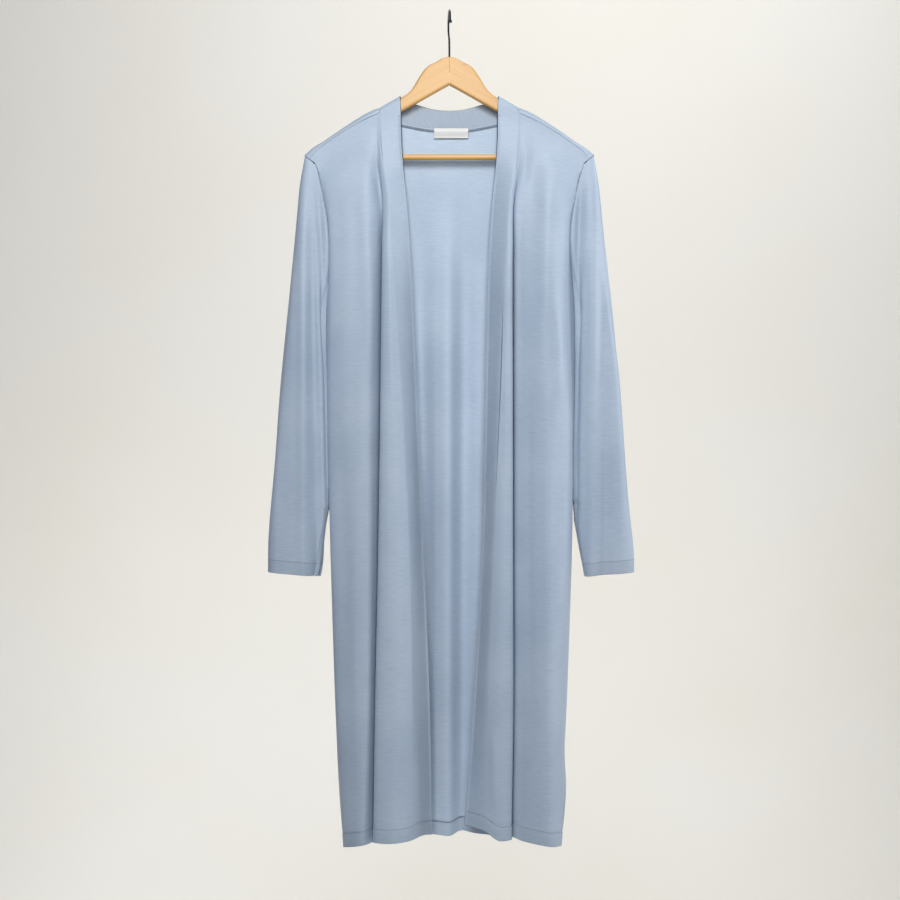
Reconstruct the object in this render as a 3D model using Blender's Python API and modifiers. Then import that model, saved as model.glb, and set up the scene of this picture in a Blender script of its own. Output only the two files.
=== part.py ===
"""Duster cardigan in fine jersey, hung on a wooden coat hanger.

The tables are in millimetres and the objects in metres.  The origin is the top of the
inside of the hook, where a rail carries it.  +Z is up, the open front faces -Y, and +X is
the wearer's left.  A drop is a distance below the origin.
"""
import math

import bmesh
import bpy
import numpy as np

MM = 0.001

# Cloth
JERSEY_WALL = 1.4
BAND_WALL = 1.8
LABEL_WALL = 1.0
SEAM_GAP = 0.4
NECK_SEAM_ROOM = 1.0

# Where the garment changes on its way down
ARMPIT_DROP = 400.0
SLIT_DROP = 1089.0
BAND_JOIN_DROP = 156.0

# Shares of the way from the shoulder to the armpit at which a row of the grid lies
UPPER_ROWS = (0.0, 0.03, 0.08, 0.15, 0.25, 0.38, 0.52, 0.68, 0.84, 1.0)
MIDDLE_CELLS = 12
SLIT_CELLS = 4
RIDGE_CELLS = 6
BAND_CELLS = 4
SLEEVE_COLUMNS = 18
SLEEVE_CELLS = 12

# Inner face of the cloth along the top of the hanger: distance from the middle, drop
RIDGE = (
    (72, 127.0), (102, 144.3), (130, 157.8), (160, 175.8), (186, 193.8), (198, 203.5), (206, 213.5),
)
RIDGE_HALF_DEPTH = 7.5
RIDGE_FALL = 6.0
TIP_BULGE = 7.0

# Drops at which the folds of a front are placed
LEVELS = (145, 215, 285, 353, 575, 812, 1019, 1236)

# Side edge of the body, armhole first: drop, x, y of the front's edge, y of the back's edge
SIDE_RIGHT = (
    (219.5, -206.0, -7.5, 7.5), (225, -199.0, -8.5, 8.0), (233, -195.0, -9.5, 8.5),
    (250, -191.0, -11.0, 9.0), (287, -183.5, -12.0, 9.0), (306, -180.0, -12.0, 8.5),
    (336, -176.5, -10.0, 7.0), (370, -175.5, -5.0, 4.0), (400, -177.0, 0.0, 0.0),
    (430, -180.0, 0.0, 0.0), (495, -181.0, 0.0, 0.0), (566, -178.8, 1.0, 1.0),
    (707, -175.8, 3.0, 3.0), (871, -170.3, 4.0, 4.0), (1070, -165.5, 5.0, 5.0), (1089, -165.0, 5.0, 5.0),
    (1168, -160.5, 0.0, 10.0), (1236, -154.0, -8.0, 14.0),
)
SIDE_LEFT = (
    (219.5, 206.0, -7.5, 7.5), (225, 199.5, -8.5, 8.0), (233, 196.5, -9.5, 8.5),
    (250, 191.0, -11.0, 9.0), (287, 183.5, -12.0, 9.0), (306, 179.5, -12.0, 8.5),
    (336, 177.0, -10.0, 7.0), (370, 178.5, -5.0, 4.0), (400, 181.5, 0.0, 0.0),
    (430, 184.0, 0.0, 0.0), (495, 185.5, 0.0, 0.0), (566, 184.8, 1.0, 1.0),
    (707, 181.5, 3.0, 3.0), (871, 178.0, 4.0, 4.0), (1070, 170.5, 5.0, 5.0), (1089, 169.5, 5.0, 5.0),
    (1148, 171.5, 1.0, 9.0), (1236, 163.5, -8.0, 14.0),
)

# Folds of a front from its side to its opening.
# name: cells since the fold before, drop of the hem, then x at each level and y at each level
FRONT_RIGHT = {
    "side": (0, 1234, None, None),
    "flank": (2, 1231,
        (-186, -186, -168, -159, -163, -158, -152, -143),
        (-10, -11, -18, -22, -25, -27, -28, -31)),
    "crest": (3, 1224,
        (-154, -154, -131, -116, -116, -114, -115, -123),
        (-11, -14, -24, -32, -42, -46, -48, -50)),
    "lip": (2, 1222,
        (-128, -126, -106, -102.5, -103.5, -107, -111, -115),
        (-11, -15, -22, -28, -36, -38, -38, -40)),
    "valley_in": (2, 1222,
        (-118, -115, -100, -97, -96, -98, -103.5, -107),
        (-11, -15, -18, -17, -16, -16, -16, -18)),
    "valley_out": (1, 1221,
        (-113, -109, -94, -89.5, -89, -90, -94.5, -99),
        (-11, -15, -17.5, -15, -15, -15, -15, -17)),
    "roll_edge": (2, 1219,
        (-109, -105, -96.5, -97, -99, -102, -106, -109),
        (-10, -16, -26, -34, -44, -50, -52, -54)),
    "roll_crest": (2, 1219,
        (-106, -101.5, -92.5, -90, -85, -79, -80, -86),
        (-9, -18, -30, -40, -52, -60, -62, -64)),
    "fold": (2, 1217,
        (-104.5, -99.5, -89.5, -85, -71, -59.5, -54.5, -59),
        (-8.5, -18, -31, -39, -47, -51, -51, -53)),
    "band_seam": (1, 1212,
        (-103, -98, -88, -83.5, -69, -57, -52.5, -40),
        (-8.5, -18, -31, -37.5, -44, -47, -47, -36)),
    "band_edge": (4, 1216,
        (-72, -69.5, -64, -59.5, -49.5, -40, -31, -28.5),
        (-8, -16, -15, -14, -17, -18, -22, -4)),
}
FRONT_LEFT = {
    "side": (0, 1232, None, None),
    "flank": (2, 1229,
        (190, 190, 172, 163, 173, 171, 164, 156),
        (-10, -11, -18, -21, -24, -26, -26, -28)),
    "trough": (2, 1224,
        (160, 158, 141, 133, 134, 134, 132.5, 132),
        (-11, -13, -23, -29, -35, -38, -40, -42)),
    "crest": (2, 1218,
        (130, 126, 110, 106, 106, 106, 106, 104),
        (-11, -14, -26, -36, -46, -50, -52, -54)),
    "lip": (1, 1214,
        (117, 113, 98.5, 96.5, 96, 96, 96.5, 93.5),
        (-11, -15, -24, -32, -40, -43, -45, -46)),
    "valley_in": (2, 1217,
        (113, 108, 95, 93.5, 93.5, 93.5, 93.5, 90.5),
        (-11, -15, -19, -18, -18, -18, -18, -20)),
    "valley_out": (1, 1217,
        (110, 105.5, 90, 87, 86.5, 86.5, 86.5, 83.5),
        (-10.5, -15, -18, -16, -16, -16, -16, -18)),
    "roll_edge": (2, 1215,
        (107.5, 103.5, 93, 91.5, 91, 91, 91, 88),
        (-10, -16, -25, -34, -44, -50, -52, -54)),
    "roll_crest": (2, 1215,
        (105, 101.5, 92, 88, 83, 78, 74.5, 71.5),
        (-9, -17, -28, -40, -52, -58, -60, -62)),
    "band_seam": (2, 1202,
        (102, 100, 90, 84, 74.5, 64.5, 57, 51),
        (-8.5, -18, -30, -39, -49, -52, -54, -56)),
    "band_edge": (4, 1197,
        (72, 70, 64.5, 61, 56, 51, 38.5, 21),
        (-8, -16, -13, -15, -20, -20, -26, -37)),
}

# Columns of the back panel from its right side to its left.
# name: cells since the column before, x at the top, share of the half width lower down,
# turn over the ridge at the top (0 front, 1 back), drop of the top if it lies behind the neck, hem
BACK_COLUMNS = {
    "side_right": (0, -206, -1.0, 0.0, None, 1232),
    "yoke_right": (2, -186, -0.92, 0.0, None, 1231),
    "shoulder_right": (2, -152, -0.8, 0.0, None, 1229),
    "neck_point_right": (3, -103.5, -0.6, 0.0, None, 1227),
    "crown_front_right": (1, -102, -0.55, 0.25, None, 1227),
    "crown_right": (1, -100.5, -0.5, 0.5, None, 1227),
    "crown_back_right": (1, -99, -0.45, 0.75, None, 1226),
    "nape_right": (1, -97, -0.4, 1.0, None, 1226),
    "behind_right": (1, -88, -0.33, 1.0, 161, 1225),
    "neck_right": (2, -60, -0.22, 1.0, 168.5, 1224),
    "trough_right": (2, -29, -0.11, 1.0, 174, 1223),
    "middle": (2, 0, 0.0, 1.0, 176, 1224),
    "trough_left": (2, 29, 0.11, 1.0, 174, 1219),
    "neck_left": (2, 60, 0.22, 1.0, 168.5, 1222),
    "behind_left": (2, 88, 0.33, 1.0, 161, 1224),
    "nape_left": (1, 96.5, 0.4, 1.0, None, 1225),
    "crown_back_left": (1, 98, 0.45, 0.75, None, 1225),
    "crown_left": (1, 99.5, 0.5, 0.5, None, 1226),
    "crown_front_left": (1, 101, 0.55, 0.25, None, 1226),
    "neck_point_left": (1, 102.5, 0.6, 0.0, None, 1226),
    "shoulder_left": (3, 152, 0.8, 0.0, None, 1228),
    "yoke_left": (2, 190, 0.93, 0.0, None, 1229),
    "side_left": (2, 206, 1.0, 0.0, None, 1230),
}
BACK_DEPTH = (
    (145, 9.0), (215, 12.0), (285, 18.0), (353, 23.0), (575, 29.0), (812, 32.0), (1019, 34.0), (1236, 36.0),
)
# Folds down the back: x, half width, rise to the rear at the hem
BACK_FOLDS = (
    (0, 13, -9.0), (19, 9, 3.0), (-29, 12, 2.0), (-95, 24, -6.0), (98, 26, -6.0),
    (-132, 14, 4.0), (136, 14, 4.0),
)
FOLD_START, FOLD_GROWTH = 200.0, 420.0

# Free edge of the neck band, named as the columns of the back: x, y, drop
NECK_FREE_EDGE = {
    "neck_point": (72.3, -7.6, 134.0),
    "crown_front": (72.2, -5.3, 128.7),
    "crown": (72.0, 0.0, 127.0),
    "crown_back": (71.8, 5.3, 128.7),
    "nape": (71.5, 7.6, 133.0),
    "behind": (62.0, 9.0, 134.5),
    "neck": (46.0, 10.0, 137.5),
    "trough": (23.0, 10.6, 143.7),
    "middle": (0.0, 10.8, 145.5),
}

# Sleeve: drop, x of its outer side, half depth.  The inner side follows the body.
SLEEVE_RIGHT = (
    (213.5, -213.0, 8.0), (250, -219.5, 13.0), (309, -225.5, 19.0), (353, -230.0, 22.0), (427, -237.2, 24.0),
    (546, -249.0, 24.0), (673, -258.5, 22.0), (791.5, -268.0, 20.0), (835, -268.3, 19.0),
)
SLEEVE_LEFT = (
    (213.5, 213.0, 8.0), (250, 219.5, 13.0), (282, 223.5, 17.0), (343, 229.7, 21.0), (427, 239.3, 24.0),
    (605, 255.5, 24.0), (723, 264.8, 22.0), (814, 273.3, 20.0), (835, 273.3, 19.0),
)
# Inner side of the sleeve below the elbow: drop, x
CUFF_RIGHT = ((735, -178.9), (760, -182.5), (783, -186.1), (816, -190.2), (835, -194.5))
CUFF_LEFT = ((723, 184.6), (757, 186.0), (791, 191.4), (812, 195.5), (835, 199.8))
# Room between the body's side edge and the sleeve's inner face: drop, room
SLEEVE_ROOM = ((219.5, 0.3), (235, 2.0), (287, 2.6), (370, 3.2), (430, 3.6), (735, 3.4))
CUFF_DROP_INNER, CUFF_DROP_OUTER = 835.0, 829.0

# Neck label, on the inside of the back neck
LABEL_X = (-22.6, 28.3)
LABEL_DROP = (172.0, 186.5)
LABEL_ROOM = 0.35

# Hanger
ARM_TOP = ((0, 67.8), (10, 69.6), (18, 74.5), (36.5, 86), (45.5, 99.5), (56, 116.5), (70, 128), (102, 145.8),
           (130, 159.5), (160, 177.7), (186, 196.0), (197, 205.5))
ARM_END = ((203, 213.0), (201.5, 221.5), (194, 225.5))
ARM_UNDER = ((184, 219.0), (160, 200.5), (130, 181.0), (102, 165.5), (72, 149.6), (36, 129.5), (0, 109.2))
ARM_THICKNESS = 12.0
ARM_ROUNDING = 3.2
BAR_DROP = 215.8
BAR_RADIUS = 4.2
BAR_HALF_LENGTH = 195.0
WIRE_RADIUS = 1.5
HOOK_RADIUS = 20.0
HOOK_TURN = math.radians(4.0)
STEM_DROP = 91.0
FIT_GAP = 0.3


def smooth_step(share):
    """Rise from 0 to 1 with a level start and end."""
    share = np.clip(share, 0.0, 1.0)
    return share * share * (3.0 - 2.0 * share)


def through(knots, values, at):
    """Smooth curve through values at rising knots; a knot's slope is the mean of both sides by distance."""
    knots = np.asarray(knots, float)
    values = np.asarray(values, float)
    at = np.clip(np.atleast_1d(np.asarray(at, float)), knots[0], knots[-1])
    flat = values.ndim == 1
    if flat:
        values = values[:, None]
    step = np.diff(knots)[:, None]
    slope = np.diff(values, axis=0) / step
    inner = (slope[:-1] * step[1:] + slope[1:] * step[:-1]) / (step[:-1] + step[1:])
    tangent = np.vstack([slope[:1], inner, slope[-1:]])
    low = np.clip(np.searchsorted(knots, at, side="right") - 1, 0, len(knots) - 2)
    span = step[low]
    s = (at - knots[low])[:, None] / span
    result = (
        values[low] * (1 + 2 * s) * (1 - s) ** 2
        + values[low + 1] * s * s * (3 - 2 * s)
        + tangent[low] * span * s * (1 - s) ** 2
        + tangent[low + 1] * span * s * s * (s - 1)
    )
    return result[:, 0] if flat else result


def column(table, index):
    """One column of a table of rows."""
    return [row[index] for row in table]


def ridge_drop(x):
    """Drop of the cloth's inner face where it crosses the top of the hanger."""
    drop = through(column(RIDGE, 0), column(RIDGE, 1), np.abs(x))
    return drop if np.ndim(x) else float(drop[0])


def over_ridge(turn):
    """Half turn of the cloth over the hanger: y, and rise above its foot, for a turn from 0 to 1."""
    return -RIDGE_HALF_DEPTH * np.cos(math.pi * turn), RIDGE_FALL * np.sin(math.pi * turn)


def across(points, cells):
    """Row of the grid: a smooth curve through the folds' points, with so many cells from fold to fold."""
    knots = np.concatenate([[0.0], np.cumsum(np.linalg.norm(np.diff(points, axis=0), axis=1) ** 0.5)])
    at = [knots[i] + (knots[i + 1] - knots[i]) * k / n for i, n in enumerate(cells) for k in range(n)]
    return through(knots, points, at + [knots[-1]])


def drops_down(top, hem):
    """Drops of a column's vertices: shoulder to armpit, armpit to slit, slit to hem."""
    upper = top + (ARMPIT_DROP - top) * np.array(UPPER_ROWS)
    middle = np.linspace(ARMPIT_DROP, SLIT_DROP, MIDDLE_CELLS + 1)[1:]
    slit = np.linspace(SLIT_DROP, hem, SLIT_CELLS + 1)[1:]
    return np.concatenate([upper, middle, slit])


def seat_on_ridge(grid, foot_row):
    """Shift the shoulder rows so that the row at the foot of the ridge follows the hanger exactly."""
    grid = grid.copy()
    foot = -(ridge_drop(grid[foot_row, :, 0]) + RIDGE_FALL)
    above = np.clip((grid[:, :, 2] + ARMPIT_DROP) / (grid[foot_row, :, 2] + ARMPIT_DROP), 0.0, 1.0)
    grid[:, :, 2] += (foot - grid[foot_row, :, 2]) * above
    return grid


def front_grid(folds, side, band):
    """Inner face of a front, as rows of points; its band is cut from the same surface."""
    names = list(folds)
    columns = []
    for name in names:
        cells, hem, xs, ys = folds[name]
        if name == "side":
            drops = drops_down(side[0][0], hem)
            x = through(column(side, 0), column(side, 1), drops)
            y = through(column(side, 0), column(side, 2), drops)
        else:
            shoulder = ridge_drop(xs[0]) + RIDGE_FALL
            drops = drops_down(BAND_JOIN_DROP if band else shoulder, hem)
            x = through(LEVELS, xs, drops)
            leave = smooth_step((drops - shoulder) / 60.0)
            y = -RIDGE_HALF_DEPTH + (through(LEVELS, ys, drops) + RIDGE_HALF_DEPTH) * leave
        columns.append(np.stack([x, y, -drops], axis=1))
    cells = [folds[name][0] for name in names[1:]]
    grid = np.stack([across(row, cells) for row in np.stack(columns, axis=1)])
    if not band:
        grid = seat_on_ridge(grid, 0)
    seam = sum(cells) - cells[-1]
    return grid[:, seam:] if band else grid[:, :seam + 1]


def back_y(x, drop, edge_y, half):
    """Depth of the back panel: it rounds off to its side edges and carries long soft folds."""
    deep = through(column(BACK_DEPTH, 0), column(BACK_DEPTH, 1), drop)
    share = np.clip(np.abs(x) / half, 0.0, 1.0)
    y = edge_y + (deep - edge_y) * np.sqrt(1.0 - share ** 3.0)
    growth = smooth_step((drop - FOLD_START) / FOLD_GROWTH)
    for place, width, rise in BACK_FOLDS:
        y = y + growth * rise * np.exp(-(((x - place) / width) ** 2))
    return y


def back_grid():
    """Inner face of the back panel, from the shoulder seams over the hanger and down to the hem."""
    columns = []
    half_turn = math.pi * math.sqrt((RIDGE_HALF_DEPTH ** 2 + RIDGE_FALL ** 2) / 2)
    for name, (cells, top_x, share, turn, neck, hem) in BACK_COLUMNS.items():
        side = SIDE_RIGHT if top_x < 0 else SIDE_LEFT
        is_side = name.startswith("side")
        foot = side[0][0] if is_side else ridge_drop(top_x) + RIDGE_FALL
        start = half_turn * turn + (0.0 if neck is None else neck - foot)
        over = np.linspace(start, max(half_turn, start + 12.0 * min(turn, 1.0)), RIDGE_CELLS + 1)
        turns = np.clip(over / half_turn, 0.0, 1.0)
        arc_y, rise = over_ridge(turns)
        arc_drop = foot - rise + np.maximum(over - half_turn, 0.0)
        drops = np.concatenate([arc_drop, drops_down(arc_drop[-1], hem)[1:]])
        bulge = np.concatenate([np.sin(math.pi * turns), np.zeros(len(drops) - len(turns))])
        edge_x = through(column(side, 0), column(side, 1), drops)
        edge_y = through(column(side, 0), column(side, 3), drops)
        if is_side:
            tip = top_x + math.copysign(TIP_BULGE, top_x) * bulge
            x = np.where(np.arange(len(drops)) <= RIDGE_CELLS, tip, edge_x)
            y = np.concatenate([arc_y, edge_y[len(arc_y):]])
        else:
            spread = smooth_step((drops - 150.0) / 200.0)
            x = top_x + (np.abs(edge_x) * share - top_x) * spread
            behind = np.concatenate([turns, np.ones(len(drops) - len(turns))]) >= 1
            leave = smooth_step((drops - foot) / 60.0) * behind
            base = np.concatenate([arc_y, np.full(len(drops) - len(arc_y), RIDGE_HALF_DEPTH)])
            y = base + (back_y(x, drops, edge_y, np.abs(edge_x)) - base) * leave
        columns.append(np.stack([x, y, -drops], axis=1))
    cells = [row[0] for row in list(BACK_COLUMNS.values())[1:]]
    grid = np.stack([across(row, cells) for row in np.stack(columns, axis=1)])
    names = list(BACK_COLUMNS)
    at = np.concatenate([[0], np.cumsum(cells)])
    first = at[names.index("neck_point_right")] + 1
    last = at[names.index("neck_point_left")]
    grid[:, :first] = seat_on_ridge(grid[:, :first], 0)
    grid[:, last:] = seat_on_ridge(grid[:, last:], 0)
    return grid


def neck_band_grid(back, right_band, left_band):
    """Inner face of the neck band, from the join with one front band to the join with the other."""
    names = list(BACK_COLUMNS)
    at = np.cumsum([row[0] for row in BACK_COLUMNS.values()])
    first = names.index("neck_point_right")
    last = names.index("neck_point_left")
    seam = back[0, at[first]:at[last] + 1]
    free = []
    for name in names[first:last + 1]:
        x, y, drop = NECK_FREE_EDGE[name.replace("_right", "").replace("_left", "")]
        free.append((-x if name.endswith("right") else x, y, -drop))
    cells = [BACK_COLUMNS[name][0] for name in names[first + 1:last + 1]]
    free = across(np.array(free), cells)
    share = np.linspace(0.0, 1.0, BAND_CELLS + 1)[None, :, None]
    middle = seam[:, None] * (1 - share) + free[:, None] * share
    lift = np.array([0.0, 0.0, SEAM_GAP])
    return np.concatenate([(right_band[0] + lift)[None], middle, (left_band[0] + lift)[None]])


def sleeve_grid(side, sleeve, cuff):
    """Inner face of a sleeve: rows from the armhole down to the cuff, columns around it."""
    sign = math.copysign(1.0, side[0][1])
    rows_above = len(UPPER_ROWS)
    inner_drop = np.concatenate([
        side[0][0] + (ARMPIT_DROP - side[0][0]) * np.array(UPPER_ROWS),
        np.linspace(ARMPIT_DROP, CUFF_DROP_INNER, SLEEVE_CELLS + 1)[1:],
    ])
    outer_top = sleeve[0][0]
    outer_drop = np.concatenate([
        outer_top + (ARMPIT_DROP - outer_top) * np.array(UPPER_ROWS),
        np.linspace(ARMPIT_DROP, CUFF_DROP_OUTER, SLEEVE_CELLS + 1)[1:],
    ])
    around = np.linspace(0.0, 2.0 * math.pi, SLEEVE_COLUMNS + 1)
    rows = []
    for row in range(len(inner_drop)):
        share = np.sin(around / 2.0) ** 2
        drop = inner_drop[row] * (1 - share) + outer_drop[row] * share
        if row == 0:
            y, rise = over_ridge(around / (2.0 * math.pi))
            x = sign * (abs(side[0][1]) + TIP_BULGE * np.sin(around / 2.0) + SEAM_GAP)
            rows.append(np.stack([x, y, rise - inner_drop[0]], axis=1))
            continue
        edge = np.abs(through(column(side, 0), column(side, 1), drop))
        room = np.interp(drop, column(SLEEVE_ROOM, 0), column(SLEEVE_ROOM, 1))
        cuff_side = np.abs(through(column(cuff, 0), column(cuff, 1), drop))
        inner = np.where(drop < cuff[0][0], edge + room, cuff_side)
        outer = np.abs(through(column(sleeve, 0), column(sleeve, 1), drop))
        depth = through(column(sleeve, 0), column(sleeve, 2), drop)
        front_edge = np.abs(through(column(side, 0), column(side, 2), drop)) * (row < rows_above)
        back_edge = np.abs(through(column(side, 0), column(side, 3), drop)) * (row < rows_above)
        start = np.where(around <= math.pi, front_edge, back_edge)
        near = np.where(np.cos(around) > 0, start, 0.0)
        reach = np.abs(np.sin(around))
        y = -np.sign(np.sin(around) + 1e-9) * (near + (depth - near) * reach)
        y = np.where(np.isclose(around, 0.0), -near, np.where(np.isclose(around, 2 * math.pi), near, y))
        x = sign * ((inner + outer) / 2.0 - (outer - inner) / 2.0 * np.cos(around))
        rows.append(np.stack([x, y, -drop], axis=1))
    return np.stack(rows)


def trim(grid, edge, gap):
    """Draw one edge of a grid back along its surface, to leave room at a seam."""
    grid = grid.copy()
    view = {"top": (grid[0], grid[1]), "bottom": (grid[-1], grid[-2]),
            "first": (grid[:, 0], grid[:, 1]), "last": (grid[:, -1], grid[:, -2])}
    rim, inside = view[edge]
    along = inside - rim
    rim += gap * along / np.linalg.norm(along, axis=1)[:, None]
    return grid


def material(name, colour, roughness, metallic=0.0):
    made = bpy.data.materials.new(name)
    made.use_nodes = True
    shader = made.node_tree.nodes["Principled BSDF"]
    shader.inputs["Base Color"].default_value = (*colour, 1.0)
    shader.inputs["Roughness"].default_value = roughness
    shader.inputs["Metallic"].default_value = metallic
    made.diffuse_color = (*colour, 1.0)
    return made


def add_object(name, mesh, surface, collection, smooth=True):
    made = bpy.data.objects.new(name, mesh)
    if surface:
        mesh.materials.append(surface)
    if smooth:
        mesh.shade_smooth()
    collection.objects.link(made)
    return made


def sheet(name, grid, wall, surface, collection, outward=1, closed_from=None):
    """Cloth sheet on a grid of inner-face points, with its wall grown outward.

    Below the row closed_from the first and the last column are one, as in a tube.
    """
    rows, columns = grid.shape[:2]
    number = np.arange(rows * columns).reshape(rows, columns)
    if closed_from is not None:
        number[closed_from:, -1] = number[closed_from:, 0]
    used, flat = np.unique(number, return_inverse=True)
    number = flat.reshape(rows, columns)
    a, b, c, d = number[:-1, :-1], number[:-1, 1:], number[1:, 1:], number[1:, :-1]
    faces = np.stack([a, d, c, b] if outward > 0 else [a, b, c, d], axis=-1).reshape(-1, 4)
    mesh = bpy.data.meshes.new(name)
    mesh.from_pydata((grid.reshape(-1, 3)[used] * MM).tolist(), [], faces.tolist())
    made = add_object(name, mesh, surface, collection)
    solid = made.modifiers.new("Wall", "SOLIDIFY")
    solid.thickness = wall * MM
    solid.offset = 1.0
    solid.use_even_offset = True
    solid.use_rim = True
    return made


def cylinder(name, radius, length, place, axis, surface, collection):
    mesh = bpy.data.meshes.new(name)
    work = bmesh.new()
    bmesh.ops.create_cone(work, cap_ends=True, segments=24, radius1=radius * MM, radius2=radius * MM,
                          depth=length * MM)
    work.to_mesh(mesh)
    work.free()
    made = add_object(name, mesh, surface, collection)
    mesh.set_sharp_from_angle(angle=math.radians(40))
    made.location = [value * MM for value in place]
    made.rotation_euler = (0.0, math.pi / 2, 0.0) if axis == "x" else (0.0, 0.0, 0.0)
    return made


def hide_cutter(cutter):
    cutter.hide_render = True
    cutter.display_type = "WIRE"


def hanger_arm(name, cutters, surface, collection):
    """One half of the bowed hanger: the whole outline, thickened and rounded, cut at the mitre."""
    top_x = np.concatenate([np.linspace(0, 60, 16)[:-1], np.linspace(60, ARM_TOP[-1][0], 14)])
    top_drop = through(column(ARM_TOP, 0), column(ARM_TOP, 1), top_x)
    half = list(zip(top_x, top_drop)) + list(ARM_END) + list(ARM_UNDER)
    whole = half + [(-x, drop) for x, drop in reversed(half[1:-1])]
    mesh = bpy.data.meshes.new(name)
    work = bmesh.new()
    work.faces.new([work.verts.new((x * MM, 0.0, -drop * MM)) for x, drop in whole])
    bmesh.ops.recalc_face_normals(work, faces=work.faces)
    work.to_mesh(mesh)
    work.free()
    made = add_object(name, mesh, surface, collection)
    solid = made.modifiers.new("Thickness", "SOLIDIFY")
    solid.thickness = ARM_THICKNESS * MM
    solid.offset = 0.0
    rounding = made.modifiers.new("Rounding", "BEVEL")
    rounding.width = ARM_ROUNDING * MM
    rounding.segments = 3
    rounding.limit_method = "ANGLE"
    rounding.angle_limit = math.radians(60)
    for cutter in cutters:
        cut = made.modifiers.new("Cut " + cutter.name, "BOOLEAN")
        cut.operation = "DIFFERENCE"
        cut.object = cutter
    return made


def hook(surface, collection):
    """Bent wire: straight stem, a bend back, a round hook over the rail and a ball at its tip."""
    centre = -(HOOK_RADIUS - WIRE_RADIUS)
    path = [(0.0, -STEM_DROP), (0.0, -70.0), (0.0, -54.0), (0.0, -47.0)]
    bend = np.array([(0.0, -47.0), (1.6, -42.5), (6.0, -38.0), (12.0, -33.2), (17.3, -27.2)])
    path += [tuple(point) for point in across(bend, [2, 2, 2, 2])[1:-1]]
    for angle in np.radians(np.arange(-26, 181, 9)):
        path.append((HOOK_RADIUS * math.cos(angle), centre + HOOK_RADIUS * math.sin(angle)))
    y, z = path[-1]
    radii = [1.0] * len(path)
    ball = ((0.6, 1.0), (1.3, 1.45), (2.2, 1.75), (3.3, 1.85), (4.4, 1.7), (5.3, 1.3), (5.8, 0.6))
    for down, radius in ball:
        path.append((y, z - down))
        radii.append(radius)
    curve = bpy.data.curves.new("hanger_hook", "CURVE")
    curve.dimensions = "3D"
    curve.bevel_depth = WIRE_RADIUS * MM
    curve.bevel_resolution = 2
    curve.use_fill_caps = True
    wire = curve.splines.new("POLY")
    wire.points.add(len(path) - 1)
    for point, (across_y, up), radius in zip(wire.points, path, radii):
        point.co = (-across_y * math.sin(HOOK_TURN) * MM, across_y * math.cos(HOOK_TURN) * MM, up * MM, 1.0)
        point.radius = radius
    wire.use_smooth = True
    curve.materials.append(surface)
    made = bpy.data.objects.new("hanger_hook", curve)
    collection.objects.link(made)
    return made


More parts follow.
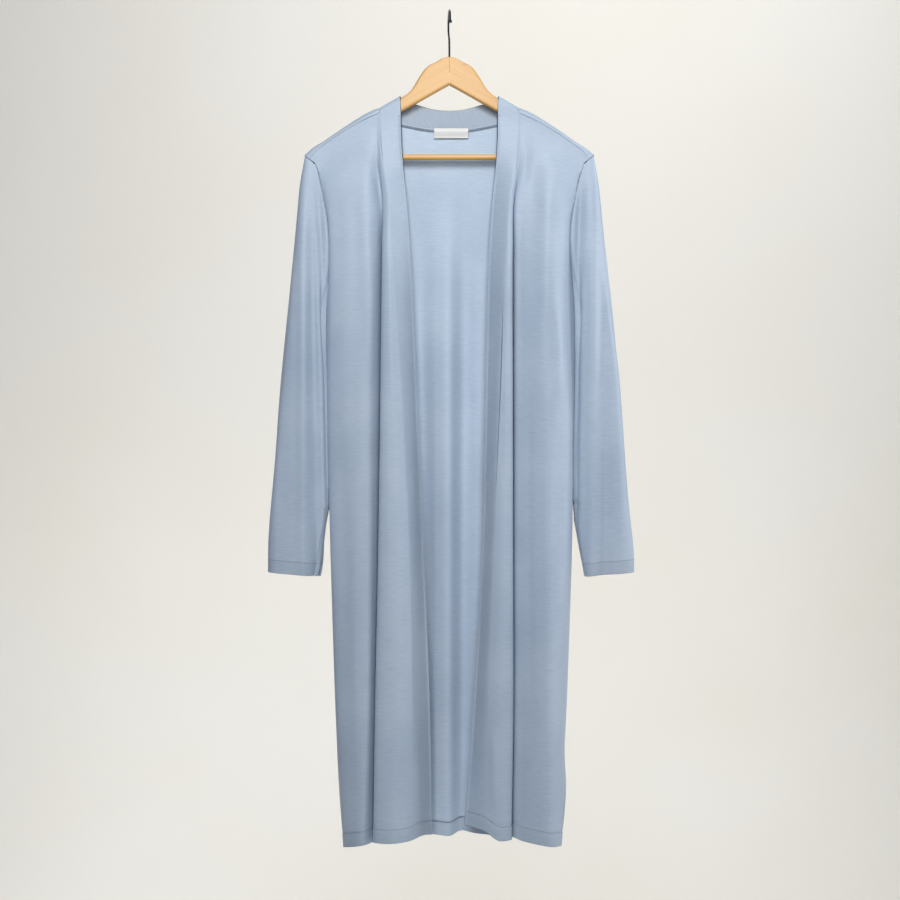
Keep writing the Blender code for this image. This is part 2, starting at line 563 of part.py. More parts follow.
def build():
    for old in list(bpy.data.objects):
        bpy.data.objects.remove(old, do_unlink=True)
    parts = bpy.data.collections.new("duster_cardigan")
    cutters = bpy.data.collections.new("cutters")
    bpy.context.scene.collection.children.link(parts)
    bpy.context.scene.collection.children.link(cutters)

    jersey = (0.42, 0.50, 0.62)
    wood = (0.80, 0.58, 0.32)
    room = SEAM_GAP / 2

    back = back_grid()
    fronts = {"right": (FRONT_RIGHT, SIDE_RIGHT), "left": (FRONT_LEFT, SIDE_LEFT)}
    bands = {}
    for hand, (folds, side) in fronts.items():
        outward = -1 if hand == "right" else 1
        panel = front_grid(folds, side, band=False)
        for edge in ("top", "first", "last"):
            panel = trim(panel, edge, room)
        sheet("front_" + hand, panel, JERSEY_WALL, material("front_" + hand, jersey, 0.75), parts, -outward)
        bands[hand] = front_grid(folds, side, band=True)
        sheet("band_" + hand, trim(bands[hand], "first", room), BAND_WALL,
              material("band_" + hand, jersey, 0.75), parts, -outward)
    panel = back
    for edge in ("top", "first", "last"):
        panel = trim(panel, edge, room)
    sheet("back_panel", panel, JERSEY_WALL, material("back_panel", jersey, 0.75), parts, -1)
    neck = trim(neck_band_grid(back, bands["right"], bands["left"]), "first", NECK_SEAM_ROOM)
    sheet("band_neck", neck, BAND_WALL, material("band_neck", jersey, 0.75), parts, -1)

    for hand, side, sleeve, cuff in (("right", SIDE_RIGHT, SLEEVE_RIGHT, CUFF_RIGHT),
                                     ("left", SIDE_LEFT, SLEEVE_LEFT, CUFF_LEFT)):
        sheet("sleeve_" + hand, sleeve_grid(side, sleeve, cuff), JERSEY_WALL,
              material("sleeve_" + hand, jersey, 0.75), parts, 1 if hand == "right" else -1,
              len(UPPER_ROWS) - 1)

    stem_bore = cylinder("stem_bore", WIRE_RADIUS + FIT_GAP, 60.0, (0, 0, -(STEM_DROP + FIT_GAP) + 30.0), "z",
                          None, cutters)
    hide_cutter(stem_bore)
    for hand, sign in (("right", -1), ("left", 1)):
        bore = cylinder("bar_bore_" + hand, BAR_RADIUS + FIT_GAP, 60.0,
                        (sign * (BAR_HALF_LENGTH + FIT_GAP - 30.0), 0, -BAR_DROP), "x", None, cutters)
        hide_cutter(bore)
        mesh = bpy.data.meshes.new("mitre_" + hand)
        work = bmesh.new()
        bmesh.ops.create_cube(work, size=0.5)
        work.to_mesh(mesh)
        work.free()
        mitre = add_object("mitre_" + hand, mesh, None, cutters, smooth=False)
        mitre.location = (-sign * (0.25 - FIT_GAP / 2 * MM), 0.0, -0.15)
        hide_cutter(mitre)
        hanger_arm("hanger_arm_" + hand, (mitre, stem_bore, bore),
                   material("hanger_arm_" + hand, wood, 0.45), parts)
    cylinder("hanger_bar", BAR_RADIUS, 2 * BAR_HALF_LENGTH, (0, 0, -BAR_DROP), "x",
             material("hanger_bar", wood, 0.45), parts)
    hook(material("hanger_hook", (0.62, 0.63, 0.64), 0.2, 1.0), parts)

    xs = np.linspace(*LABEL_X, 7)
    rows = []
    for drop in np.linspace(*LABEL_DROP, 3):
        top, low = (np.interp(xs, back[row, :, 0], back[row, :, 1]) for row in (0, RIDGE_CELLS))
        y = top + (low - top) * smooth_step((drop - 176.0) / 12.0)
        rows.append(np.stack([xs, y - LABEL_WALL - LABEL_ROOM, np.full(7, -drop)], axis=1))
    white = material("neck_label", (0.86, 0.86, 0.85), 0.6)
    sheet("neck_label", np.stack(rows), LABEL_WALL, white, parts, -1)


build()
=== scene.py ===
import math

import bpy
import numpy as np
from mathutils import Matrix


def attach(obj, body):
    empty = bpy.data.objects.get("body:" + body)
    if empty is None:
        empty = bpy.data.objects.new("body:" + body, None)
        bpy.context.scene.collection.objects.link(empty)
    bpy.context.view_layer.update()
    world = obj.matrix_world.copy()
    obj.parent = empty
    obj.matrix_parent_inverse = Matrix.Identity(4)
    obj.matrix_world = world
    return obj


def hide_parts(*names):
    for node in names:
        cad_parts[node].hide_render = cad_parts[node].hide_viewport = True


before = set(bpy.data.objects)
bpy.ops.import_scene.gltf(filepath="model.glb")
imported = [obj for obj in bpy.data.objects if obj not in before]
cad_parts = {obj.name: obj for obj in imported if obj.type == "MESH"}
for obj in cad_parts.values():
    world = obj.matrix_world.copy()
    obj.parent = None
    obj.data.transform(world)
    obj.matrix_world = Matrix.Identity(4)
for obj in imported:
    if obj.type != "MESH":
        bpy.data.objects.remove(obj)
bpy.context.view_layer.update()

# A duster cardigan in fine viscose jersey on a beech coat hanger.  Tables are in millimetres, a drop is
# the distance below the inside of the hook, -Y faces the camera and +X is the wearer's left.
mm = 0.001

# General tools


def hexColour(code):
    # sRGB hex value to linear red, green, blue, alpha
    parts = [int(code[i:i + 2], 16) / 255 for i in (1, 3, 5)]
    return [p / 12.92 if p <= 0.04045 else ((p + 0.055) / 1.055) ** 2.4 for p in parts] + [1.0]


def setSockets(tree, node, sockets):
    # Set a node's sockets; a value may be a number, a colour or another node's output
    for key, value in sockets.items():
        if isinstance(value, bpy.types.NodeSocket):
            tree.links.new(value, node.inputs[key])
        else:
            node.inputs[key].default_value = value


def addNode(tree, kind, sockets=None, **settings):
    # One shader node of a kind, with its settings and sockets
    node = tree.nodes.new("ShaderNode" + kind)
    for key, value in settings.items():
        setattr(node, key, value)
    setSockets(tree, node, sockets or {})
    return node


def startMaterial(name):
    # New material, its node tree, its shader and the object's own place, in metres
    material = bpy.data.materials.new(name)
    material.use_nodes = True
    tree = material.node_tree
    place = addNode(tree, "TexCoord").outputs["Object"]
    return material, tree, tree.nodes["Principled BSDF"], place


def clothPlace(tree):
    # Place on the flat cloth, in metres: x across the piece from its middle, y up from its lower edge
    return addNode(tree, "UVMap", uv_map="cloth").outputs["UV"]


def divided(tree, place, sizes, slope=0.0):
    # A place turned by a slope about Y, in degrees, and divided by three feature sizes in metres
    return addNode(tree, "Mapping", {
        "Vector": place, "Rotation": (0.0, math.radians(slope), 0.0), "Scale": [1 / size for size in sizes],
    }).outputs["Vector"]


def noise(tree, place, scale, detail, more=None):
    # Noise between 0 and 1 at a place times a scale
    sockets = {"Vector": place, "Scale": scale, "Detail": detail}
    return addNode(tree, "TexNoise", {**sockets, **(more or {})}).outputs["Fac"]


def calc(tree, operation, *values):
    # One arithmetic operation on one to three values
    return addNode(tree, "Math", dict(enumerate(values)), operation=operation).outputs[0]


def between(tree, value, low, high, toLow, toHigh, kind="LINEAR"):
    # Carry a value from the limits low and high to toLow and toHigh, clamped
    return addNode(tree, "MapRange", {
        "Value": value, "From Min": low, "From Max": high, "To Min": toLow, "To Max": toHigh,
    }, interpolation_type=kind).outputs["Result"]


def ramped(tree, value, stops, toneAndPaintedLight=1.0):
    # Colour of a value between stops of position and hex colour; toneAndPaintedLight multiplies each linear
    # part, for a paler or darker copy of the colours
    node = addNode(tree, "ValToRGB", {"Fac": value})
    elements = node.color_ramp.elements
    while len(elements) < len(stops):
        elements.new(0.5)
    for element, (position, code) in zip(elements, stops):
        element.position = position
        element.color = [min(1.0, part * toneAndPaintedLight) for part in hexColour(code)[:3]] + [1.0]
    return node.outputs["Color"]


def blended(tree, share, first, second):
    # Mix of two colours by a share
    return addNode(tree, "Mix", {0: share, 6: first, 7: second}, data_type="RGBA").outputs[2]


def bumped(tree, height, strength, distance):
    # Normal tilted by the slope of a height
    return addNode(tree, "Bump", {
        "Height": height, "Strength": strength, "Distance": distance}).outputs["Normal"]


def smoothStep(share):
    # Rise from 0 to 1 with a level start and end: s*s*(3 - 2s)
    share = np.clip(share, 0.0, 1.0)
    return share * share * (3.0 - 2.0 * share)


def through(knots, values, at):
    # Cubic curve through values at rising knots; the slope at a knot is the mean of the slopes on both sides,
    # each weighted by the other side's length
    knots = np.asarray(knots, float)
    values = np.asarray(values, float)
    at = np.clip(np.atleast_1d(np.asarray(at, float)), knots[0], knots[-1])
    flat = values.ndim == 1
    if flat:
        values = values[:, None]
    step = np.diff(knots)[:, None]
    slope = np.diff(values, axis=0) / step
    inner = (slope[:-1] * step[1:] + slope[1:] * step[:-1]) / (step[:-1] + step[1:])
    tangent = np.vstack([slope[:1], inner, slope[-1:]])
    low = np.clip(np.searchsorted(knots, at, side="right") - 1, 0, len(knots) - 2)
    span = step[low]
    s = (at - knots[low])[:, None] / span
    result = (values[low] * (1 + 2 * s) * (1 - s) ** 2 + values[low + 1] * s * s * (3 - 2 * s)
              + tangent[low] * span * s * (1 - s) ** 2 + tangent[low + 1] * span * s * s * (s - 1))
    return result[:, 0] if flat else result


def tableColumn(table, index):
    # One column of a table, as a list
    return [row[index] for row in table]


def runAlong(grid, axis):
    # Distance from the first point along one axis of a grid, at each point
    steps = np.cumsum(np.linalg.norm(np.diff(grid, axis=axis), axis=2), axis=axis)
    return np.insert(steps, 0, 0.0, axis=axis)


def runBack(grid, axis):
    # Distance to the last point along one axis of a grid, at each point
    return np.flip(runAlong(np.flip(grid, axis), axis), axis)


def faceQuads(number, outward):
    # Quads of a numbered grid, wound so that their normals point out of the cloth's wall
    a, b, c, d = number[:-1, :-1], number[:-1, 1:], number[1:, 1:], number[1:, :-1]
    return np.stack([a, d, c, b] if outward > 0 else [a, b, c, d], axis=-1).reshape(-1, 4)


def pointNormals(points, quads):
    # Mean of the diagonals' cross products of the quads around each point
    p = points[quads]
    cross = np.cross(p[:, 2] - p[:, 0], p[:, 3] - p[:, 1])
    total = np.zeros_like(points)
    for corner in range(4):
        np.add.at(total, quads[:, corner], cross)
    return total / np.maximum(np.linalg.norm(total, axis=1), 1e-12)[:, None]


def wrapNumbers(rows, columns, closedFrom):
    # Numbers of a grid's points; from the row closedFrom on, the last column is the first one
    number = np.arange(rows * columns).reshape(rows, columns)
    if closedFrom is not None:
        number[closedFrom:, -1] = number[closedFrom:, 0]
    return number


def gridNormals(grid, outward, closedFrom=None):
    # Outward unit normal at each point of a grid
    number = wrapNumbers(*grid.shape[:2], closedFrom)
    normals = pointNormals(grid.reshape(-1, 3), faceQuads(number, outward))
    return normals[number]


def makePiece(name, points, faces, material, uv=None):
    # Mesh object at the origin from points in millimetres
    mesh = bpy.data.meshes.new(name)
    mesh.from_pydata((points * mm).tolist(), [], faces.tolist() if hasattr(faces, "tolist") else faces)
    if uv is not None:
        layer = mesh.uv_layers.new(name="cloth")
        loops = np.empty(len(mesh.loops), np.int32)
        mesh.loops.foreach_get("vertex_index", loops)
        layer.data.foreach_set("uv", uv[loops].astype(np.float32).ravel())
    mesh.materials.append(material)
    mesh.shade_smooth()
    piece = bpy.data.objects.new(name, mesh)
    bpy.context.scene.collection.objects.link(piece)
    return piece


# Rings of a free edge's rim: height as a share of the wall, reach outward as a share of it, and the shares of
# the surface's normal and of the outward direction in the ring's own normal
rimRings = ((0.14, 0.2, -0.6, 0.8), (0.5, 0.28, 0.0, 1.0), (0.86, 0.2, 0.6, 0.8))


def clothShell(name, grid, wall, outward, material, closedFrom=None, inside=None):
    # Closed shell on a grid of inner-face points: outer face = point + normal * wall, and each free edge
    # gets a half-round rim, so that it looks turned or sewn and not cut.
    rows, columns = grid.shape[:2]
    number = wrapNumbers(rows, columns, closedFrom)
    used, flat = np.unique(number, return_inverse=True)
    number = flat.reshape(rows, columns)
    points = grid.reshape(-1, 3)[used]
    wall = np.broadcast_to(wall, (rows, columns)).reshape(-1)[used][:, None]
    quads = faceQuads(number, outward)
    normals = pointNormals(points, quads)

    across = runAlong(grid, 1)
    across -= across.mean(axis=1, keepdims=True)
    uv = np.stack([across, runBack(grid, 0)], axis=-1).reshape(-1, 2)[used] * mm

    edges = np.concatenate([quads[:, [0, 1]], quads[:, [1, 2]], quads[:, [2, 3]], quads[:, [3, 0]]])
    _, first, count = np.unique(np.sort(edges, axis=1), axis=0, return_index=True, return_counts=True)
    rim = edges[first[count == 1]]
    outside = np.cross(points[rim[:, 1]] - points[rim[:, 0]], normals[rim].mean(axis=1))
    reach = np.zeros_like(points)
    np.add.at(reach, rim[:, 0], outside)
    np.add.at(reach, rim[:, 1], outside)
    rimPoints = np.unique(rim)
    reach = reach[rimPoints] / np.maximum(np.linalg.norm(reach[rimPoints], axis=1), 1e-12)[:, None]
    place = np.full(len(points), -1)
    place[rimPoints] = np.arange(len(rimPoints))

    total = len(points)
    rimNormals = normals[rimPoints]
    rings = [points[rimPoints] + (rimNormals * high + reach * out) * wall[rimPoints]
             for high, out, _, _ in rimRings]
    levels = [2 * total + k * len(rimPoints) + place[rim] for k in range(len(rimRings))]
    levels = [rim] + levels + [rim + total]
    strips = [np.stack([low[:, 1], low[:, 0], high[:, 0], high[:, 1]], axis=1)
              for low, high in zip(levels, levels[1:])]
    allPoints = np.concatenate([points, points + normals * wall] + rings)
    faces = np.concatenate([quads[:, ::-1], quads + total] + strips)
    allUv = np.concatenate([uv, uv] + [uv[rimPoints]] * len(rimRings))
    piece = makePiece(name, allPoints, faces, material, uv=allUv)
    # The faces keep the surface's own normals up to a seam; only the rim turns from one face to the other
    turned = [rimNormals * up + reach * out for _, _, up, out in rimRings]
    faceNormals = pointNormals(points + normals * wall, quads)
    piece.data.normals_split_custom_set_from_vertices(np.concatenate([-normals, faceNormals] + turned))
    if inside is not None:
        piece.data.materials.append(inside)
        index = np.zeros(len(faces), np.int32)
        index[:len(quads)] = 1
        piece.data.polygons.foreach_set("material_index", index)
    return piece


def stitchLines(name, lines, material, pitch=3.2, length=2.5, thick=0.7):
    # Thread spindles set end to end along lines of points: each is a stretched octahedron
    bodies = []
    for line, normal in lines:
        run = np.concatenate([[0.0], np.cumsum(np.linalg.norm(np.diff(line, axis=0), axis=1))])
        at = np.arange(pitch * 0.5, run[-1] - pitch * 0.4, pitch)
        if len(at) == 0:
            continue
        middle, ahead, behind = (np.stack([np.interp(s, run, line[:, k]) for k in range(3)], axis=1)
                                 for s in (at, at + 0.5, at - 0.5))
        along = ahead - behind
        along /= np.maximum(np.linalg.norm(along, axis=1), 1e-9)[:, None]
        up = np.stack([np.interp(at, run, normal[:, k]) for k in range(3)], axis=1)
        up /= np.maximum(np.linalg.norm(up, axis=1), 1e-9)[:, None]
        beside = np.cross(along, up)
        corner = [middle - along * length / 2, middle + along * length / 2, middle + up * thick * 0.55,
                  middle + beside * thick / 2, middle - up * thick * 0.55, middle - beside * thick / 2]
        bodies.append(np.stack(corner, axis=1))
    points = np.concatenate(bodies)
    base = np.array([(0, 3, 2), (0, 4, 3), (0, 5, 4), (0, 2, 5), (1, 2, 3), (1, 3, 4), (1, 4, 5), (1, 5, 2)])
    faces = (base[None] + 6 * np.arange(len(points))[:, None, None]).reshape(-1, 3)
    return makePiece(name, points.reshape(-1, 3), faces, material)


def roundTube(name, path, radius, material, sides=10):
    # Round thread or roll along a path of points; the two ends close to a point
    tangent = np.gradient(path, axis=0)
    tangent /= np.linalg.norm(tangent, axis=1)[:, None]
    aside = np.cross(tangent, np.array([0.0, 1.0, 0.02]))
    aside /= np.linalg.norm(aside, axis=1)[:, None]
    over = np.cross(tangent, aside)
    angle = np.linspace(0, 2 * math.pi, sides, endpoint=False)
    ring = aside[:, None] * np.cos(angle)[None, :, None] + over[:, None] * np.sin(angle)[None, :, None]
    shape = np.full(len(path), radius)
    shape[0] = shape[-1] = radius * 0.02
    points = (path[:, None] + ring * shape[:, None, None]).reshape(-1, 3)
    number = np.arange(len(points)).reshape(len(path), sides)
    number = np.concatenate([number, number[:, :1]], axis=1)
    quads = faceQuads(number, -1)
    caps = [list(range(sides)), list(range(len(points) - sides, len(points)))[::-1]]
    return makePiece(name, points, quads.tolist() + caps, material)


# Materials

clothLook = {
    "light": "#A9B8CB", "middle": "#A1B1C5", "deep": "#9AAABF",
    "streakLong": 0.018, "streakHigh": 0.0021,      # yarn streaks along the courses
    "loop": 0.0016,      # loops are 0.5 mm; drawn at 1.6 mm, because finer ones can't show
    "loopWave": 0.32, "loopHeight": 0.00022, "needleShadeWidth": 0.0012,
    # insideToneAndLight pales the back's inner face: partly the purl side's own paler tone, partly painted
    # light
    # neckInsidePaintedShade darkens the neck band's inner face: painted shade under the hanger's arms
    "roughness": 0.5, "sheen": 0.30, "sheenTint": "#D5E2F4", "insideToneAndLight": 1.28, "neckInsidePaintedShade": 0.84,
}


def makeJersey(name, hem=0.0, toneAndPaintedLight=1.0):
    # Viscose single jersey, piece dyed: a smooth drapey knit with a soft satin bloom and faint course
    # streaks; its loops are the product of two waves, one across and one along the cloth
    # toneAndPaintedLight scales the cloth's colour: for the purl side it is partly that side's own paler tone
    # and partly painted light, for the neck band's inner face it is painted shade
    material, tree, shader, place = startMaterial(name)
    flat = clothPlace(tree)
    courses = divided(tree, flat, (clothLook["streakLong"], clothLook["streakHigh"], 1.0))
    streak = noise(tree, courses, 1.0, 3.0, {"Roughness": 0.6})
    broad = noise(tree, place, 9.0, 2.0)
    tone = calc(tree, "MULTIPLY", calc(tree, "ADD", streak, broad), 0.5)
    colour = ramped(tree, tone, [(0.36, clothLook["deep"]), (0.5, clothLook["middle"]),
                                 (0.64, clothLook["light"])], toneAndPaintedLight)
    loops = divided(tree, flat, (clothLook["loop"], clothLook["loop"], 1.0))
    waves = [addNode(tree, "TexWave", {
        "Vector": loops, "Scale": clothLook["loopWave"], "Distortion": wobble, "Detail": 1.0,
    }, wave_type="BANDS", bands_direction=axis).outputs["Fac"] for axis, wobble in (("X", 0.4), ("Y", 0.8))]
    height = calc(tree, "MULTIPLY_ADD", streak, 1.6, calc(tree, "MULTIPLY", *waves))
    if hem:
        # Painted shade at the turned hem: the double cloth below the stitch line is drawn a little darker,
        # and a dark line along the stitch line's groove is painted shade
        up = addNode(tree, "SeparateXYZ", {0: flat}).outputs["Y"]
        double = between(tree, up, hem - 0.0004, hem + 0.0004, 0.92, 1.0)
        away = calc(tree, "ABSOLUTE", calc(tree, "SUBTRACT", up, hem))
        needleShade = between(tree, away, 0.0003, clothLook["needleShadeWidth"], 0.76, 1.0)
        shaded = {0: colour, "Scale": calc(tree, "MULTIPLY", double, needleShade)}
        colour = addNode(tree, "VectorMath", shaded, operation="SCALE").outputs["Vector"]
    rough = clothLook["roughness"]
    setSockets(tree, shader, {
        "Base Color": colour, "Roughness": between(tree, broad, 0.3, 0.7, rough - 0.05, rough + 0.05),
        "Normal": bumped(tree, height, 0.35, clothLook["loopHeight"]), "Sheen Weight": clothLook["sheen"],
        "Sheen Roughness": 0.4, "Sheen Tint": hexColour(clothLook["sheenTint"]), "Specular IOR Level": 0.45})
    return material


# The overlock colour also draws the dark tube under the neck seam's roll, a painted shadow
threadLook = {"hem": "#8093AE", "overlock": "#4D5D74", "armhole": "#4F6590", "twist": 0.0008}


def makeThread(name, code):
    # Polyester sewing thread: a shade darker than the cloth, slightly glossy, with its twist as fine noise
    material, tree, shader, place = startMaterial(name)
    twist = noise(tree, place, 1 / threadLook["twist"], 1.0)
    setSockets(tree, shader, {
        "Base Color": ramped(tree, twist, [(0.3, code), (0.7, clothLook["middle"])]), "Roughness": 0.5})
    return material


def makeLabelSatin():
    # Woven polyester satin ribbon: bright white, smooth across, with fine ribs 0.7 mm apart along its length
    material, tree, shader, _ = startMaterial("white_woven_satin")
    rib = noise(tree, divided(tree, clothPlace(tree), (0.0014, 0.0007, 1.0)), 1.0, 2.0)
    setSockets(tree, shader, {
        "Base Color": ramped(tree, rib, [(0.35, "#CDD0D3"), (0.65, "#DCDEDF")]),
        "Normal": bumped(tree, rib, 0.3, 0.0001), "Roughness": 0.38})
    return material


woodLook = {
    "pale": "#CEA262", "middle": "#CB9D5C", "dark": "#C69656", "fleck": "#AE8450", "knotTone": "#A8703A",
    "slope": 29.0,      # degrees from level that each arm, and so its grain, falls to the side
    # barPaintedLight pales the bar's copy of the beech: painted light
    "grain": 0.0026, "long": 0.14, "barPaintedLight": 1.12,
    "knot": (24.7, -6.0, -79.2), "knotSize": (0.0085, 0.02, 0.0032),
}


def makeBeech(name, slope, knot=None, toneAndPaintedLight=1.0):
    # Beech, planed, sanded and clear lacquered: pale honey with long fine grain and short darker ray flecks
    material, tree, shader, place = startMaterial(name)
    along = divided(tree, place, (1.0, 1.0, 1.0), slope)
    grain = noise(tree, divided(tree, along, (woodLook["long"], 0.02, woodLook["grain"])), 1.0, 4.0,
                  {"Distortion": 0.5})
    fleck = noise(tree, divided(tree, along, (0.0045, 0.002, 0.0007)), 1.0, 1.0)
    # toneAndPaintedLight pales the colour; only the bar's copy uses it, as painted light
    colour = ramped(tree, grain, [(0.32, woodLook["dark"]), (0.47, woodLook["middle"]),
                                  (0.62, woodLook["pale"])], toneAndPaintedLight)
    colour = blended(tree, between(tree, fleck, 0.62, 0.74, 0.0, 0.45), colour, hexColour(woodLook["fleck"]))
    if knot:
        # Small knot: distance from its middle, stretched along the grain, darkens the wood
        near = addNode(tree, "Mapping", {"Vector": place, "Location": [-k * mm for k in knot]})
        stretched = divided(tree, near.outputs["Vector"], woodLook["knotSize"], slope)
        far = addNode(tree, "VectorMath", {0: stretched}, operation="LENGTH").outputs["Value"]
        dark = between(tree, far, 0.25, 1.0, 0.55, 0.0, "SMOOTHSTEP")
        colour = blended(tree, dark, colour, hexColour(woodLook["knotTone"]))
    setSockets(tree, shader, {
        "Base Color": colour, "Normal": bumped(tree, grain, 0.15, 0.0003), "Roughness": 0.42,
        "Coat Weight": 0.25, "Coat Roughness": 0.22})
    return material


def makeChrome():
    # Chrome-plated steel wire: bright mirror with a trace of drawing lines along it
    material, tree, shader, place = startMaterial("chrome_plated_wire")
    drawn = noise(tree, place, 420.0, 2.0)
    setSockets(tree, shader, {
        "Base Color": ramped(tree, drawn, [(0.3, "#7E8082"), (0.7, "#97999B")]),
        "Roughness": between(tree, drawn, 0.3, 0.7, 0.12, 0.24), "Metallic": 1.0})
    return material


# Garment: shared measures

cloth = {
    "wall": 1.4, "bandWall": 1.8, "hemExtra": 0.6,
    "seamRoom": 0.14, "bandRoom": 0.2,      # gaps of the shells at seams
    "bandLap": 0.15, "tipLap": 0.3,      # what they reach past the seam at the bands and at the shoulder tips
    "armpit": 400.0, "slit": 1089.0, "bandJoin": 156.0, "shoulderTip": 224.0,
    "cuffInside": 835.0, "cuffOutside": 829.0,
    "hem": 20.0, "cuffHem": 18.5, "slitHem": 9.0,      # heights of the stitch lines
    "stitchGap": 4.0, "stitchSink": 0.15,      # between the two rows of coverstitch, and into the cloth
    "upperRows": 70, "middleRows": 150, "slitRows": 42, "ridgeRows": 18,
    "sleeveRows": 120, "sleeveColumns": 109,
    "frontFineness": 6, "backFineness": 4,
}
# The cloth's inner face over the hanger: distance from the middle, drop
ridge = (
    (72, 127.0), (102, 144.3), (130, 157.8), (160, 175.8), (186, 193.8), (198, 203.5), (206, 213.5),
)
ridgeHalfDepth = 7.5
ridgeFall = 6.0
tipBulge = 7.0
# Drops at which each fold's place is given
levels = (145, 215, 285, 353, 575, 812, 1019, 1236)

# Side edge of the body: drop, x, y of the front's edge, y of the back's edge
sideRight = (
    (219.5, -206.0, -7.5, 7.5), (225, -199.0, -8.5, 8.0), (233, -195.0, -9.5, 8.5),
    (250, -191.0, -11.0, 9.0), (287, -183.5, -12.0, 9.0), (306, -180.0, -12.0, 8.5),
    (336, -176.5, -10.0, 7.0), (370, -175.5, -5.0, 4.0), (400, -177.0, 0.0, 0.0),
    (430, -180.0, 0.0, 0.0), (495, -181.0, 0.0, 0.0), (566, -178.8, 1.0, 1.0),
    (707, -175.8, 3.0, 3.0), (871, -170.3, 4.0, 4.0), (1070, -165.5, 5.0, 5.0), (1089, -165.0, 5.0, 5.0),
    (1168, -160.5, 0.0, 10.0), (1236, -154.0, -8.0, 14.0),
)
sideLeft = (
    (219.5, 206.0, -7.5, 7.5), (225, 199.5, -8.5, 8.0), (233, 196.5, -9.5, 8.5),
    (250, 191.0, -11.0, 9.0), (287, 183.5, -12.0, 9.0), (306, 179.5, -12.0, 8.5),
    (336, 177.0, -10.0, 7.0), (370, 178.5, -5.0, 4.0), (400, 181.5, 0.0, 0.0),
    (430, 184.0, 0.0, 0.0), (495, 185.5, 0.0, 0.0), (566, 184.8, 1.0, 1.0),
    (707, 181.5, 3.0, 3.0), (871, 178.0, 4.0, 4.0), (1070, 170.5, 5.0, 5.0), (1089, 169.5, 5.0, 5.0),
    (1148, 171.5, 1.0, 9.0), (1236, 163.5, -8.0, 14.0),
)

# Folds of a front from its side to its opening: cells since the fold before, drop of the hem, x and y at each
# level
foldsRight = {
    "side": (0, 1234, None, None),
    "flank": (2, 1231, (-190, -190, -177, -174, -175, -171, -164, -152),
                       (-10, -11, -18, -20, -21, -22, -23, -26)),
    "crest": (3, 1224, (-154, -154, -133, -121, -121, -119, -120, -127),
                       (-11, -14, -25, -33, -43, -47, -49, -51)),
    "lip": (2, 1222, (-128, -126, -109, -107.5, -108.5, -109.5, -112, -115.5),
                     (-11, -15, -22, -27, -33, -35, -36, -38)),
    "valleyIn": (2, 1222, (-118, -115, -100, -98, -97.5, -99.5, -104.5, -108),
                          (-11, -15, -16, -11, -8, -7, -7, -10)),
    "valleyOut": (1, 1221, (-113, -109, -94, -89.5, -89, -90, -94.5, -99),
                           (-11, -15, -16, -11, -8, -7, -7, -10)),
    "rollEdge": (2, 1219, (-109, -105, -96.5, -97, -99, -102, -106, -109),
                          (-10, -16, -26, -34, -44, -50, -52, -54)),
    "rollCrest": (2, 1219, (-106, -101.5, -92.5, -90, -85, -79, -80, -86),
                           (-9, -18, -30, -40, -52, -60, -62, -64)),
    "fold": (2, 1217, (-104.5, -99.5, -89.5, -85, -71, -59.5, -54.5, -59),
                      (-8.5, -18, -31, -39, -47, -51, -51, -53)),
    "bandSeam": (1, 1212, (-103, -98, -88, -83.5, -69, -57, -52.5, -40),
                          (-8.5, -18, -31, -37.5, -44, -47, -47, -36)),
    "bandEdge": (4, 1216, (-72, -69.5, -64, -59.5, -49.5, -40, -31, -28.5),
                          (-8, -16, -15, -14, -17, -18, -22, -4)),
}
foldsLeft = {
    "side": (0, 1232, None, None),
    "flank": (2, 1229, (190, 190, 176, 173, 178, 176, 168, 160),
                       (-10, -11, -19, -22, -24, -26, -27, -29)),
    "trough": (2, 1224, (160, 158, 148, 145, 147, 149, 147, 145),
                        (-11, -15, -33, -42, -50, -56, -59, -60)),
    "crest": (2, 1218, (130, 126, 111, 107, 107, 107, 107, 105),
                       (-11, -14, -22, -29, -36, -39, -41, -43)),
    "lip": (1, 1214, (117, 113, 99, 98, 97.5, 97, 97, 94), (-11, -15, -21, -27, -32, -34, -36, -38)),
    "valleyIn": (2, 1217, (113, 108, 95, 94, 94, 94, 94, 91), (-11, -15, -16, -12, -9, -8, -8, -11)),
    "valleyOut": (1, 1217, (110, 105.5, 90, 87, 86.5, 86.5, 86.5, 83.5),
                           (-10.5, -15, -16, -12, -9, -8, -8, -11)),
    "rollEdge": (2, 1215, (107.5, 103.5, 93, 91.5, 91, 91, 91, 88),
                          (-10, -16, -25, -34, -44, -50, -52, -54)),
    "rollCrest": (2, 1215, (105, 101.5, 92, 88, 83, 78, 74.5, 71.5),
                           (-9, -17, -28, -40, -52, -58, -60, -62)),
    "bandSeam": (2, 1202, (102, 100, 90, 84, 74.5, 64.5, 57, 51),
                          (-8.5, -18, -30, -39, -49, -52, -54, -56)),
    "bandEdge": (4, 1197, (72, 70, 64.5, 61, 56, 51, 38.5, 21), (-8, -16, -13, -15, -20, -20, -26, -37)),
}

